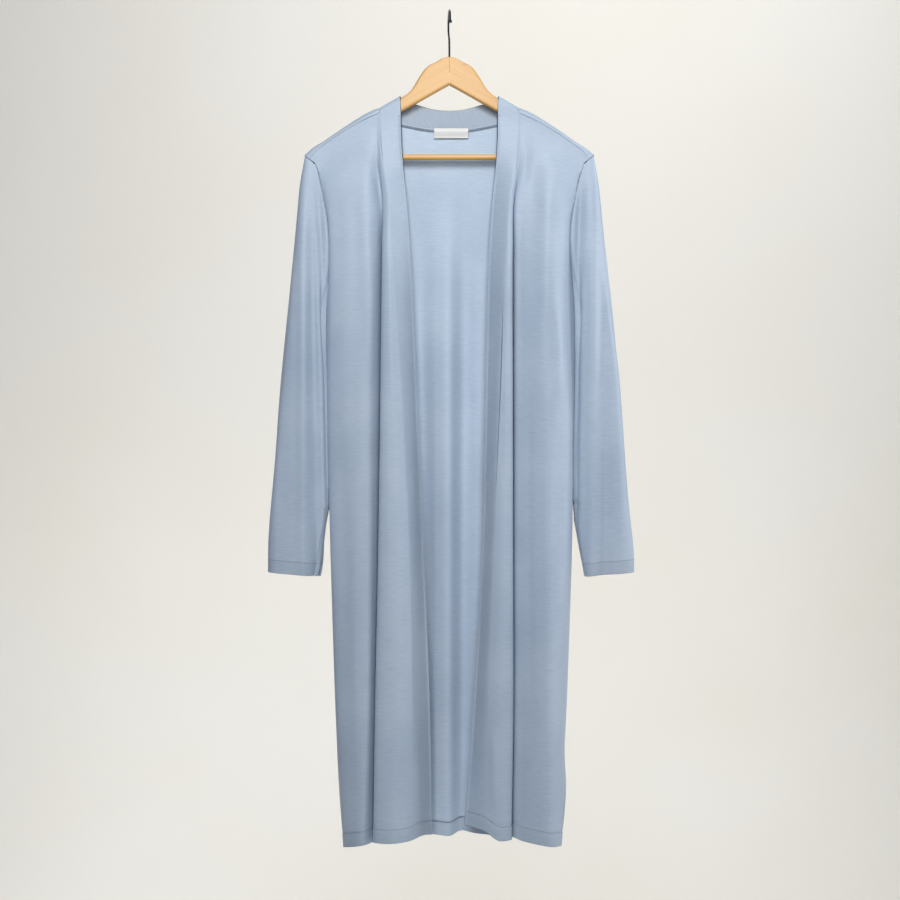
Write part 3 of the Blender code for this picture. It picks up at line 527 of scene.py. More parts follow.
# Columns of the back: cells since the one before, x at the top, share of the half width lower down,
# turn over the hanger at the top, drop of the top where it lies behind the neck, drop of the hem
backColumns = {
    "sideRight": (0, -206, -1.0, 0.0, None, 1232), "yokeRight": (2, -186, -0.92, 0.0, None, 1231),
    "shoulderRight": (2, -152, -0.8, 0.0, None, 1229), "neckPointRight": (3, -103.5, -0.6, 0.0, None, 1227),
    "crownFrontRight": (1, -102, -0.55, 0.25, None, 1227), "crownRight": (1, -100.5, -0.5, 0.5, None, 1227),
    "crownBackRight": (1, -99, -0.45, 0.75, None, 1226), "napeRight": (1, -97, -0.4, 1.0, None, 1226),
    "behindRight": (1, -88, -0.33, 1.0, 161, 1225), "neckRight": (2, -60, -0.22, 1.0, 168.5, 1224),
    "troughRight": (2, -29, -0.11, 1.0, 174, 1223), "middle": (2, 0, 0.0, 1.0, 176, 1224),
    "troughLeft": (2, 29, 0.11, 1.0, 174, 1219), "neckLeft": (2, 60, 0.22, 1.0, 168.5, 1222),
    "behindLeft": (2, 88, 0.33, 1.0, 161, 1224), "napeLeft": (1, 96.5, 0.4, 1.0, None, 1225),
    "crownBackLeft": (1, 98, 0.45, 0.75, None, 1225), "crownLeft": (1, 99.5, 0.5, 0.5, None, 1226),
    "crownFrontLeft": (1, 101, 0.55, 0.25, None, 1226), "neckPointLeft": (1, 102.5, 0.6, 0.0, None, 1226),
    "shoulderLeft": (3, 152, 0.8, 0.0, None, 1228), "yokeLeft": (2, 190, 0.93, 0.0, None, 1229),
    "sideLeft": (2, 206, 1.0, 0.0, None, 1230),
}
# Depth of the back: drop, y
backDepth = (
    (145, 9.0), (215, 12.0), (285, 18.0), (353, 23.0), (575, 29.0), (812, 32.0), (1019, 34.0), (1236, 36.0),
)
# Folds down the back: x, half width, rise to the rear at the hem
backFolds = (
    (-5, 20, -14.0), (21, 11, 9.0), (-35, 12, 7.0), (-95, 24, -6.0), (98, 26, -6.0), (-132, 14, 4.0),
    (136, 14, 4.0),
)
# Free edge of the neck band at each column of the back: x, y, drop
neckFreeEdge = {
    "neckPoint": (72.3, -7.6, 134.0), "crownFront": (72.2, -5.3, 128.7), "crown": (72.0, 0.0, 127.0),
    "crownBack": (71.8, 5.3, 128.7), "nape": (71.5, 7.6, 133.0), "behind": (62.0, 9.0, 134.5),
    "neck": (46.0, 10.0, 137.5), "trough": (23.0, 10.6, 143.7), "middle": (0.0, 10.8, 145.5),
}

# Sleeves: drop, x of the outer side, half depth; then the cuff's inner side: drop, x
sleeveRight = (
    (213.5, -213.0, 8.0), (250, -219.5, 13.0), (309, -225.5, 19.0), (353, -230.0, 22.0), (427, -237.2, 24.0),
    (546, -249.0, 24.0), (673, -258.5, 22.0), (791.5, -268.0, 20.0), (835, -268.3, 19.0),
)
sleeveLeft = (
    (213.5, 213.0, 8.0), (250, 219.5, 13.0), (282, 223.5, 17.0), (343, 229.7, 21.0), (427, 239.3, 24.0),
    (605, 255.5, 24.0), (723, 264.8, 22.0), (814, 273.3, 20.0), (835, 273.3, 19.0),
)
cuffRight = ((735, -178.9), (760, -182.5), (783, -186.1), (816, -190.2), (835, -194.5))
cuffLeft = ((723, 184.6), (757, 186.0), (791, 191.4), (812, 195.5), (835, 199.8))
# Gap between the body's edge and the sleeve: drop, gap
sleeveRoom = ((219.5, 0.1), (235, 0.4), (287, 0.5), (370, 0.5), (430, 0.4), (700, 0.4), (734, 1.8))


def ridgeDrop(x):
    # Drop of the cloth's inner face over the hanger
    return through(tableColumn(ridge, 0), tableColumn(ridge, 1), np.abs(x))


def overRidge(turn):
    # Half turn over the hanger: y = -depth*cos(pi*turn), rise = fall*sin(pi*turn)
    return -ridgeHalfDepth * np.cos(math.pi * turn), ridgeFall * np.sin(math.pi * turn)


def acrossFolds(points, cells, fineness):
    # Row of the grid through the folds' points; knots lie the root of the distance apart
    knots = np.concatenate([[0.0], np.cumsum(np.linalg.norm(np.diff(points, axis=0), axis=1) ** 0.5)])
    at = [np.linspace(knots[i], knots[i + 1], n * fineness + 1)[:-1] for i, n in enumerate(cells)]
    return through(knots, points, np.concatenate(at + [knots[-1:]]))


def dropsDown(top, hem):
    # Drops of a column's points: shoulder to armpit, armpit to slit, slit to hem
    return np.concatenate([
        np.linspace(top, cloth["armpit"], cloth["upperRows"] + 1),
        np.linspace(cloth["armpit"], cloth["slit"], cloth["middleRows"] + 1)[1:],
        np.linspace(cloth["slit"], hem, cloth["slitRows"] + 1)[1:]])


def seatOnRidge(grid):
    # Shift the shoulder rows so that the seam follows the hanger
    foot = -(ridgeDrop(grid[0, :, 0]) + ridgeFall)
    above = np.clip((grid[:, :, 2] + cloth["armpit"]) / (grid[0, :, 2] + cloth["armpit"]), 0.0, 1.0)
    grid = grid.copy()
    grid[:, :, 2] += (foot - grid[0, :, 2]) * above
    return grid


def frontGrid(folds, side, band):
    # Inner face of a front or of its band: each fold is a smooth curve down the levels, joined across
    columns = []
    for name, (cells, hem, xs, ys) in folds.items():
        if name == "side":
            drops = dropsDown(side[0][0], hem)
            x = through(tableColumn(side, 0), tableColumn(side, 1), drops)
            y = through(tableColumn(side, 0), tableColumn(side, 2), drops)
        else:
            shoulder = float(ridgeDrop(xs[0])[0]) + ridgeFall
            drops = dropsDown(cloth["bandJoin"] if band else shoulder, hem)
            x = through(levels, xs, drops)
            leave = smoothStep((drops - shoulder) / 60.0)
            y = -ridgeHalfDepth + (through(levels, ys, drops) + ridgeHalfDepth) * leave
        columns.append(np.stack([x, y, -drops], axis=1))
    cells = [row[0] for row in list(folds.values())[1:]]
    fineness = cloth["frontFineness"]
    grid = np.stack([acrossFolds(row, cells, fineness) for row in np.stack(columns, axis=1)])
    if not band:
        grid = seatOnRidge(grid)
    seam = (sum(cells) - cells[-1]) * fineness
    return grid[:, seam:] if band else grid[:, :seam + 1]


def backY(x, drop, edgeY, half):
    # Depth of the back: rounds off to the side edges and carries long soft folds
    deep = through(tableColumn(backDepth, 0), tableColumn(backDepth, 1), drop)
    share = np.clip(np.abs(x) / half, 0.0, 1.0)
    y = edgeY + (deep - edgeY) * np.sqrt(1.0 - share ** 3.0)
    growth = smoothStep((drop - 200.0) / 420.0)
    for place, width, rise in backFolds:
        y = y + growth * rise * np.exp(-(((x - place) / width) ** 2))
    return y


def backGrid():
    # Inner face of the back, from the shoulder seams over the hanger to the hem
    columns = []
    halfTurn = math.pi * math.sqrt((ridgeHalfDepth ** 2 + ridgeFall ** 2) / 2)
    for name, (cells, topX, share, turn, neck, hem) in backColumns.items():
        side = sideRight if topX < 0 else sideLeft
        isSide = name.startswith("side")
        foot = side[0][0] if isSide else float(ridgeDrop(topX)[0]) + ridgeFall
        start = halfTurn * turn + (0.0 if neck is None else neck - foot)
        over = np.linspace(start, max(halfTurn, start + 12.0 * min(turn, 1.0)), cloth["ridgeRows"] + 1)
        turns = np.clip(over / halfTurn, 0.0, 1.0)
        arcY, rise = overRidge(turns)
        arcDrop = foot - rise + np.maximum(over - halfTurn, 0.0)
        drops = np.concatenate([arcDrop, dropsDown(arcDrop[-1], hem)[1:]])
        rest = len(drops) - len(turns)
        edgeX = through(tableColumn(side, 0), tableColumn(side, 1), drops)
        edgeY = through(tableColumn(side, 0), tableColumn(side, 3), drops)
        if isSide:
            bulge = math.copysign(tipBulge, topX) * np.sin(math.pi * turns)
            x = np.concatenate([topX + bulge, edgeX[len(turns):]])
            y = np.concatenate([arcY, edgeY[len(turns):]])
        else:
            x = topX + (np.abs(edgeX) * share - topX) * smoothStep((drops - 150.0) / 200.0)
            leave = smoothStep((drops - foot) / 60.0) * (np.concatenate([turns, np.ones(rest)]) >= 1)
            base = np.concatenate([arcY, np.full(rest, ridgeHalfDepth)])
            y = base + (backY(x, drops, edgeY, np.abs(edgeX)) - base) * leave
        columns.append(np.stack([x, y, -drops], axis=1))
    cells = [row[0] for row in list(backColumns.values())[1:]]
    fineness = cloth["backFineness"]
    grid = np.stack([acrossFolds(row, cells, fineness) for row in np.stack(columns, axis=1)])
    names = list(backColumns)
    at = np.concatenate([[0], np.cumsum(cells)]) * fineness
    first, last = at[names.index("neckPointRight")] + 1, at[names.index("neckPointLeft")]
    grid[:, :first] = seatOnRidge(grid[:, :first])
    grid[:, last:] = seatOnRidge(grid[:, last:])
    return grid, at


def neckBandGrid(back, at, rightBand, leftBand):
    # Inner face of the neck band: ruled from its seam with the back to its free edge, and joined to both
    # front bands in six steps
    names = list(backColumns)
    first, last = names.index("neckPointRight"), names.index("neckPointLeft")
    seam = back[0, at[first]:at[last] + 1]
    free = []
    for name in names[first:last + 1]:
        x, y, drop = neckFreeEdge[name.replace("Right", "").replace("Left", "")]
        free.append((-x if name.endswith("Right") else x, y, -drop))
    cells = [backColumns[name][0] for name in names[first + 1:last + 1]]
    free = acrossFolds(np.array(free), cells, cloth["backFineness"])
    share = np.linspace(0.0, 1.0, rightBand.shape[1])[None, :, None]
    middle = seam[:, None] * (1 - share) + free[:, None] * share
    steps = np.linspace(0.0, 1.0, 7)[:-1, None, None]
    start = rightBand[:1] * (1 - steps) + middle[:1] * steps
    end = middle[-1:] * steps[::-1] + leftBand[:1] * (1 - steps[::-1])
    return np.concatenate([start, middle, end])


def sleeveGrid(side, sleeve, cuff):
    # Inner face of a sleeve: rows from the armhole to the cuff, columns round it; the section is an oval from
    # the body's edge to the outer side, y = depth * |sin(around)| ** full, fuller towards the body
    sign = math.copysign(1.0, side[0][1])

    def dropsTo(top, cuffDrop):
        return np.concatenate([np.linspace(top, cloth["armpit"], cloth["upperRows"] + 1),
                               np.linspace(cloth["armpit"], cuffDrop, cloth["sleeveRows"] + 1)[1:]])

    innerDrop = dropsTo(side[0][0], cloth["cuffInside"])
    outerDrop = dropsTo(sleeve[0][0], cloth["cuffOutside"])
    around = np.linspace(0.0, 2.0 * math.pi, cloth["sleeveColumns"])[None, :]
    share = np.sin(around / 2.0) ** 2
    drop = innerDrop[:, None] * (1 - share) + outerDrop[:, None] * share
    shape = drop.shape

    def read(table, index):
        values = through(tableColumn(table, 0), tableColumn(table, index), drop.ravel())
        return np.abs(values).reshape(shape)

    edge = read(side, 1)
    room = np.interp(drop, tableColumn(sleeveRoom, 0), tableColumn(sleeveRoom, 1))
    inner = np.where(drop < cuff[0][0], edge + room, read(cuff, 1))
    outer = read(sleeve, 1)
    depth = read(sleeve, 2)
    upper = (np.arange(shape[0]) <= cloth["upperRows"])[:, None]
    start = np.where(around <= math.pi, read(side, 2), read(side, 3)) * upper
    near = np.where(np.cos(around) > 0, start, 0.0)
    full = 1.0 - 0.6 * smoothStep(np.cos(around) * 1.5) - 0.3 * smoothStep(-np.cos(around) * 1.5)
    y = -np.sign(np.sin(around) + 1e-9) * (near + (depth - near) * np.abs(np.sin(around)) ** full)
    y[:, 0] = -near[:, 0]
    y[:, -1] = near[:, -1]
    x = sign * ((inner + outer) / 2.0 - (outer - inner) / 2.0 * np.cos(around))
    grid = np.stack([x, y, -drop], axis=-1)
    topY, rise = overRidge(around[0] / (2.0 * math.pi))
    topX = sign * (abs(side[0][1]) + tipBulge * np.sin(around[0] / 2.0) + 0.4)
    top = np.stack([topX, topY, rise - innerDrop[0]], axis=1)
    blend = 4
    for row in range(blend):
        grid[row] = top + (grid[blend] - top) * row / blend
    return grid


def trimEdge(grid, edge, gap):
    # Draw one edge of a grid back along its surface to leave room at a seam
    grid = grid.copy()
    rim, inside = {"top": (grid[0], grid[1]), "bottom": (grid[-1], grid[-2]),
                   "first": (grid[:, 0], grid[:, 1]), "last": (grid[:, -1], grid[:, -2])}[edge]
    along = inside - rim
    reach = np.linalg.norm(along, axis=1)[:, None]
    rim += along / reach * np.minimum(gap, reach * 0.9)
    return grid


def addCreases(grid, creases, outward, closedFrom=None, side=None):
    # Soft creases: each runs from one place to another and lifts the cloth along its normal by
    # rise * exp(-((x - line)/width)^2), faded smoothly in and out along its run
    normals = gridNormals(grid, outward, closedFrom)
    x, drop = grid[:, :, 0], -grid[:, :, 2]
    lift = np.zeros(x.shape)
    for fromX, fromDrop, toX, toDrop, width, rise, bend in creases:
        share = (drop - fromDrop) / (toDrop - fromDrop)
        line = fromX + (toX - fromX) * share + bend * np.sin(math.pi * np.clip(share, 0, 1))
        fade = smoothStep(share / 0.3) * smoothStep((1 - share) / 0.3)
        lift += rise * fade * np.exp(-(((x - line) / width) ** 2))
    if side is not None:
        lift = np.where(normals[:, :, 1] * side > 0.15, lift, 0.0)
    return grid + normals * lift[:, :, None]


def hemWall(grid, wall, height):
    # Wall with a turned hem: the cloth lies double below the stitch line, which is drawn in as a soft groove
    above = runBack(grid, 0)
    groove = 0.95 * np.exp(-(((above - height) / 1.5) ** 2))
    return wall + cloth["hemExtra"] * smoothStep((height + 1.0 - above) / 3.0) - groove, above


def slitGroove(grid, wall, columnAt, inset):
    # Shallow groove of the stitches beside a slit: 0.9*exp(-((distance - inset)/1.3)^2), from its top down
    run = runAlong(grid, 1) if columnAt == 0 else runBack(grid, 1)
    top = len(grid) - 1 - cloth["slitRows"]
    below = (np.arange(len(grid)) >= top)[:, None]
    return wall - 0.9 * np.exp(-(((run - inset) / 1.3) ** 2)) * below


def foldedEdge(grid, wall):
    # The band's free edge is a fold, thicker than the rest: the wall grows by 1.3 mm over the last 3 mm
    return wall + 1.3 * smoothStep((3.4 - runBack(grid, 1)) / 3.0)


def lineAbove(outer, normals, above, height):
    # Points and normals of the line that lies at one height above the hem, one for each column
    share = np.array([np.interp(-height, -above[:, k], np.arange(len(above))) for k in range(above.shape[1])])
    low = np.clip(share.astype(int), 0, len(above) - 2)
    part = (share - low)[:, None]
    column = np.arange(above.shape[1])
    return tuple(field[low, column] * (1 - part) + field[low + 1, column] * part
                 for field in (outer, normals))


def slitLines(panel, normals, wall, columnAt, inset):
    # Stitches beside a slit: down the cloth at one distance in from its edge, with a short bar across the top
    top = len(panel) - 1 - cloth["slitRows"]
    run = runAlong(panel, 1) if columnAt == 0 else runBack(panel, 1)
    order = slice(None) if columnAt == 0 else slice(None, None, -1)
    outer = panel + normals * wall

    def at(row, distance):
        return [np.array([np.interp(distance, run[row, order], field[row, order, k]) for k in range(3)])
                for field in (outer, normals)]

    rows = range(top, len(panel) - 2)
    down = [at(row, inset) for row in rows]
    bar = [at(top, d) for d in np.linspace(0.8, inset, 8)]
    return [tuple(np.array([pair[k] for pair in line]) for k in (0, 1)) for line in (down, bar)]


# Garment: pieces

print("materials")
jersey = makeJersey("pale_blue_viscose_jersey", cloth["hem"] * mm)
jerseySleeve = makeJersey("pale_blue_sleeve_jersey", cloth["cuffHem"] * mm)
jerseyBand = makeJersey("pale_blue_band_jersey", cloth["hem"] * mm)
jerseyNeck = makeJersey("pale_blue_neck_jersey")
# The neck band's inner face is drawn darker: painted shade under the hanger's arms
jerseyNeckPaintedShade = makeJersey("pale_blue_neck_band_inside", 0.0, clothLook["neckInsidePaintedShade"])
# The back's inner face is drawn paler: partly the purl side's own paler tone, partly painted light on the
# back seen through the opening
jerseyInside = makeJersey("pale_blue_jersey_purl_side_and_painted_light", cloth["hem"] * mm, clothLook["insideToneAndLight"])
thread = makeThread("blue_polyester_thread", threadLook["hem"])
# Overlock thread, also used for the painted shadow under the neck seam's roll
darkThreadAndShadow = makeThread("slate_overlock_thread_and_painted_shadow", threadLook["overlock"])
armThread = makeThread("mid_blue_seam_thread", threadLook["armhole"])
satin = makeLabelSatin()

# Creases of each piece: from x and drop, to x and drop, width, rise, sideways bend
frontCreases = {
    "right": [
        (-120, 175, -118, 460, 11, 1.3, -2), (-106, 160, -104, 330, 5, -1.2, 0),
        (-140, 240, -133, 560, 14, -1.2, 3),
        (-152, 320, -148, 760, 12, 1.0, -2), (-168, 250, -158, 430, 10, -0.8, 2),
        (-160, 560, -150, 1100, 9, -1.2, 2),
        (-136, 640, -132, 1180, 7, 1.0, -2), (-125, 420, -124, 900, 5, -0.8, 1),
        (-86, 520, -80, 900, 6, -1.0, 2),
        (-70, 760, -76, 1180, 5, 0.9, 2),
    ],
    "left": [
        (112, 165, 106, 420, 8, 1.4, 2), (128, 200, 124, 500, 12, -1.3, 2), (153, 415, 159, 600, 8, 1.8, 3),
        (143, 430, 147, 580, 8, -1.4, 3), (172, 500, 168, 900, 6, 1.6, 0),
        (158, 560, 152, 1000, 8, -1.4, -2),
        (140, 520, 142, 1120, 6, 1.2, 2), (118, 480, 120, 1100, 6, -1.2, -2),
        (82, 420, 76, 760, 5, -1.1, 0),
        (62, 1040, 66, 1190, 5, 1.8, 2), (148, 900, 146, 1190, 8, -1.0, 2),
    ],
}
backCreases = [
    (34, 260, 30, 760, 9, 1.2, -2), (-48, 280, -52, 820, 10, 1.0, 2),
    (62, 460, 66, 1120, 12, 1.6, 2), (-74, 480, -78, 1150, 12, -1.6, -2), (112, 300, 124, 700, 12, -1.8, 4),
    (-118, 320, -130, 760, 13, 2.0, -4), (150, 560, 146, 1120, 10, 1.5, 3),
    (-148, 620, -142, 1140, 10, -1.4, -3),
    (84, 180, 104, 380, 10, 1.5, 3), (-88, 180, -110, 400, 11, 1.5, -3),
]
sleeveCreases = {
    "right": [
        (-205, 225, -198, 330, 4.0, 1.5, 4), (-199, 245, -188, 420, 4.0, -2.4, 3),
        (-213, 150, -217, 1000, 7, 4.2, -2),
        (-205, 170, -191, 1000, 8, -7.0, -3), (-192, 200, -189, 640, 4.5, 1.8, 0),
        (-240, 380, -248, 800, 10, -1.4, -2),
        (-252, 600, -258, 900, 5, 1.0, 0), (-193, 205, -178, 520, 5.5, -7.0, 0),
        (-180, 380, -177, 800, 4, -4.0, 0),
    ],
    "left": [
        (205, 225, 198, 330, 4.0, 1.5, -4), (199, 245, 188, 420, 4.0, -2.4, -3),
        (212, 150, 210, 1000, 7, 4.0, 2),
        (224, 260, 229, 1000, 10, -7.0, 0), (192, 300, 190, 640, 5, -1.4, 0),
        (246, 420, 254, 820, 7, 1.6, 2),
        (214, 640, 206, 900, 5, 1.2, 0), (193, 205, 182, 520, 5.5, -7.0, 0),
        (185, 380, 186, 800, 4, -4.0, 0),
    ],
}

# Lines of stitches, gathered while the pieces are made
hems = []
cuffs = []
slits = []
armholes = []
pieces = {}

# Puckers where the sleeve is sewn in, and the overcast stitches that show there
puckers = {"pitch": 5.4, "height": 0.8, "reach": 4.0,
           "from": 235.0, "fadeIn": 25.0, "to": 345.0, "fadeOut": 40.0}
overcast = {"from": 26.0, "to": 128.0, "pitch": 3.4, "reach": 4.5}


def tipGap(drops):
    # Gap at a side seam: the seam's own, but a lap over the sleeve's top at the shoulder tip
    return np.where(drops < cloth["shoulderTip"], -cloth["tipLap"], cloth["seamRoom"])


def coverstitch(lines, grid, wall, normals, above, height):
    # Two rows of stitches at a hem, sunk a little into the cloth
    outer = grid + normals * (wall - cloth["stitchSink"])
    for level in (height, height - cloth["stitchGap"]):
        lines.append(lineAbove(outer, normals, above, level))


def makeBack(back):
    # Back panel with its hem and slits; returns the overlock lines inside its hem
    panel = addCreases(back, backCreases, -1)
    gap = tipGap(-panel[:, :1, 2])
    panel = trimEdge(panel, "top", cloth["seamRoom"])
    panel = trimEdge(panel, "first", gap)
    panel = trimEdge(panel, "last", gap)
    wall, above = hemWall(panel, cloth["wall"], cloth["hem"])
    for columnAt in (0, -1):
        wall = slitGroove(panel, wall, columnAt, cloth["slitHem"])
    # Its inner face takes the paler purl-side material: partly its own tone, partly painted light
    pieces["back"] = clothShell("back_panel_jersey", panel, wall, -1, jersey, inside=jerseyInside)
    normals = gridNormals(panel, -1)
    coverstitch(hems, panel, cloth["wall"], normals, above, cloth["hem"])
    for columnAt in (0, -1):
        slits.extend(slitLines(panel, normals, cloth["wall"], columnAt, cloth["slitHem"]))
    return [lineAbove(panel - normals * 0.2, -normals, above, cloth["hem"] + up) for up in (-0.6, 0.9)]


def addPuckers(panel, outward):
    # Waves along the armhole seam, height * sin(2*pi*run / pitch), that die out as exp(-(distance/reach)^2)
    run = runAlong(panel, 0)[:, :1]
    apart = np.linalg.norm(panel - panel[:, :1], axis=2)
    drop = -panel[:, :, 2]
    strength = smoothStep((drop - puckers["from"]) / puckers["fadeIn"])
    strength = strength * smoothStep((puckers["to"] - drop) / puckers["fadeOut"])
    wave = puckers["height"] * np.sin(2 * math.pi * run / puckers["pitch"])
    lift = wave * np.exp(-((apart / puckers["reach"]) ** 2)) * strength
    return panel + gridNormals(panel, outward) * lift[:, :, None]


def makeFront(hand, folds, side, outward):
    # Front panel with its hem and slit; its wall grows to the band's over the last 5 mm
    flat = addCreases(frontGrid(folds, side, False), frontCreases[hand], outward)
    panel = addPuckers(flat, outward)
    panel = trimEdge(panel, "top", cloth["seamRoom"])
    panel = trimEdge(panel, "first", tipGap(-flat[:, :1, 2]))
    panel = trimEdge(panel, "last", -cloth["bandLap"])
    wall, above = hemWall(panel, cloth["wall"], cloth["hem"])
    toBand = np.linalg.norm(panel - panel[:, -1:], axis=2)
    wall = wall + (cloth["bandWall"] - cloth["wall"]) * smoothStep((5.0 - toBand) / 5.0)
    wall = slitGroove(panel, wall, 0, cloth["slitHem"])
    pieces["front_" + hand] = clothShell("front_" + hand + "_jersey", panel, wall, outward, jersey)
    normals = gridNormals(panel, outward)
    coverstitch(hems, panel, cloth["wall"], normals, above, cloth["hem"])
    slits.extend(slitLines(panel, normals, cloth["wall"], 0, cloth["slitHem"]))
    # Overcast stitches run in from the seam, each across the cloth's own row
    outer = panel + normals * cloth["wall"]
    seam = runAlong(flat, 0)[:, 0]
    across = runAlong(panel, 1)
    for at in np.arange(overcast["from"], overcast["to"], overcast["pitch"]):
        row = int(np.searchsorted(seam, at))
        ends = [[np.interp(reach, across[row], field[row, :, k]) for k in range(3)]
                for field in (outer, normals) for reach in (0.0, overcast["reach"])]
        armholes.append((np.array(ends[:2]), np.array(ends[2:])))


def makeBand(hand, folds, side, outward):
    # Front band, folded double; returns its grid, which the neck band carries on
    grid = frontGrid(folds, side, True)
    band = trimEdge(grid, "first", -cloth["bandLap"])
    wall, above = hemWall(band, cloth["bandWall"], cloth["hem"])
    wall = foldedEdge(band, wall)
    pieces["band_" + hand] = clothShell("band_" + hand + "_jersey", band, wall, outward, jerseyBand)
    coverstitch(hems, band, cloth["bandWall"], gridNormals(band, outward), above, cloth["hem"])
    return grid


def makeSleeve(hand, side, sleeve, cuff, outward):
    # Sleeve: its creases in front, and like ones behind that lie a little lower, wider and flatter
    closed = cloth["upperRows"]
    creases = sleeveCreases[hand]
    behind = [(x0 * 1.01, d0 + 22, x1, d1 + 14, width * 1.2, -rise * 0.9, -bend)
              for x0, d0, x1, d1, width, rise, bend in creases[2:]]
    grid = addCreases(sleeveGrid(side, sleeve, cuff), creases, outward, closed, side=-1)
    grid = addCreases(grid, behind, outward, closed, side=1)
    wall, above = hemWall(grid, cloth["wall"], cloth["cuffHem"])
    name = "sleeve_" + hand
    pieces[name] = clothShell(name + "_jersey", grid, wall, outward, jerseySleeve, closed)
    coverstitch(cuffs, grid, cloth["wall"], gridNormals(grid, outward, closed), above, cloth["cuffHem"])


print("back panel")
back, backAt = backGrid()
overlock = makeBack(back)

print("fronts and bands")
bandGrids = {}
for hand, folds, side, outward in (("right", foldsRight, sideRight, 1), ("left", foldsLeft, sideLeft, -1)):
    makeFront(hand, folds, side, outward)
    bandGrids[hand] = makeBand(hand, folds, side, outward)

print("neck band")
neck = neckBandGrid(back, backAt, bandGrids["right"], bandGrids["left"])
neck = trimEdge(neck, "first", cloth["bandRoom"])
# Its inner face takes the darker neck material: painted shade
pieces["neck"] = clothShell("neck_band_jersey", neck, cloth["bandWall"], -1, jerseyNeck,
                            inside=jerseyNeckPaintedShade)

print("sleeves")
makeSleeve("right", sideRight, sleeveRight, cuffRight, 1)
makeSleeve("left", sideLeft, sleeveLeft, cuffLeft, -1)

print("sewing and label")
hemStitches = stitchLines("hem_coverstitch", hems + slits, thread)
cuffStitches = stitchLines("cuff_coverstitch", cuffs, thread)
armholeStitches = stitchLines("armhole_overcast", armholes, armThread, pitch=4.4, length=4.4, thick=1.3)
overlockStitches = stitchLines("back_hem_overlock", overlock, darkThreadAndShadow, pitch=2.4, length=2.6, thick=1.1)

# The neck seam's roll lies in front of the seam; the dark tube below it, of radius edge, is a painted shadow
# under the roll, in the overlock thread's colour
neckSeam = {"roll": 1.25, "rollPlace": (0.0, -1.3, 0.5), "edge": 1.0, "shadowPlace": (0.0, -0.8, -1.8)}
names = list(backColumns)
seam = back[0, backAt[names.index("napeRight")]:backAt[names.index("napeLeft")] + 1]
neckRoll = roundTube("neck_seam_roll", seam + neckSeam["rollPlace"], neckSeam["roll"], jerseyNeck)
neckShadowTube = roundTube("neck_seam_painted_shadow", seam + neckSeam["shadowPlace"], neckSeam["edge"], darkThreadAndShadow)

labelLook = {"x": (-22.6, 28.3), "drop": (172.0, 186.5), "wall": 0.7, "forward": 2.45, "overRoll": 1.3}


def labelGrid():
    # Inner face of the label: it hangs in front of the back's top, stands out over the seam's roll, and its
    # free edge curls forward a little
    xs = np.linspace(*labelLook["x"], 41)
    top, low = (np.interp(xs, back[row, :, 0], back[row, :, 1]) for row in (0, cloth["ridgeRows"]))
    rows = []
    for drop in np.linspace(*labelLook["drop"], 17):
        curl = 0.8 * smoothStep((drop - 178.0) / 9.0) + 0.25 * np.sin(xs * 0.21)
        overRoll = labelLook["overRoll"] * (1 - smoothStep((drop - 176.0) / 10.0))
        y = top + (low - top) * smoothStep((drop - 176.0) / 12.0)
        y = y - labelLook["forward"] - 0.6 * curl - overRoll
        rows.append(np.stack([xs, y, np.full(len(xs), -drop)], axis=1))
    return np.stack(rows)


pieces["label"] = clothShell("neck_label_satin", labelGrid(), labelLook["wall"], -1, satin)

print("hanger")
beech = {"hanger_arm_right": makeBeech("lacquered_beech_right", woodLook["slope"]),
         "hanger_arm_left": makeBeech("lacquered_beech_left", -woodLook["slope"], woodLook["knot"]),
         # The bar's copy of the beech is drawn paler: painted light
         "hanger_bar": makeBeech("lacquered_beech_bar_painted_light", 0.0, None, woodLook["barPaintedLight"]),
         "hanger_hook": makeChrome()}
for node, material in beech.items():
    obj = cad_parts[node]
    obj.data.materials.clear()
    obj.data.materials.append(material)

# What each piece is: its node, the flat size and area of the cut that shows, in metres
sheets = {
    "back": ("back_panel", (0.432, 1.100), 0.400),
    "front_right": ("front_right", (0.226, 1.075), 0.198),
    "front_left": ("front_left", (0.222, 1.075), 0.194),
    "band_right": ("band_right", (0.035, 1.070), 0.0346), "band_left": ("band_left", (0.036, 1.050), 0.0350),
    "neck": ("band_neck", (0.035, 0.225), 0.0075),
    "sleeve_right": ("sleeve_right", (0.192, 0.622), 0.0994),
    "sleeve_left": ("sleeve_left", (0.188, 0.622), 0.0978),
    "label": ("neck_label", (0.051, 0.0145), 0.00074),
}
for key, (node, flat, area) in sheets.items():
    piece = pieces[key]
    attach(piece, "root")
    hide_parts(node)
for piece in (hemStitches, cuffStitches, armholeStitches, overlockStitches, neckRoll, neckShadowTube):
    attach(piece, "root")

# Studio

studio = {
    "wall": "#EFEEEA", "floor": "#EDEAE3", "floorDrop": 2.0, "behind": 3.4, "ahead": 4.5, "curve": 1.0,
    "top": 3.2, "halfWidth": 6.0, "room": "#DCE8FF", "roomLight": 0.08,
}


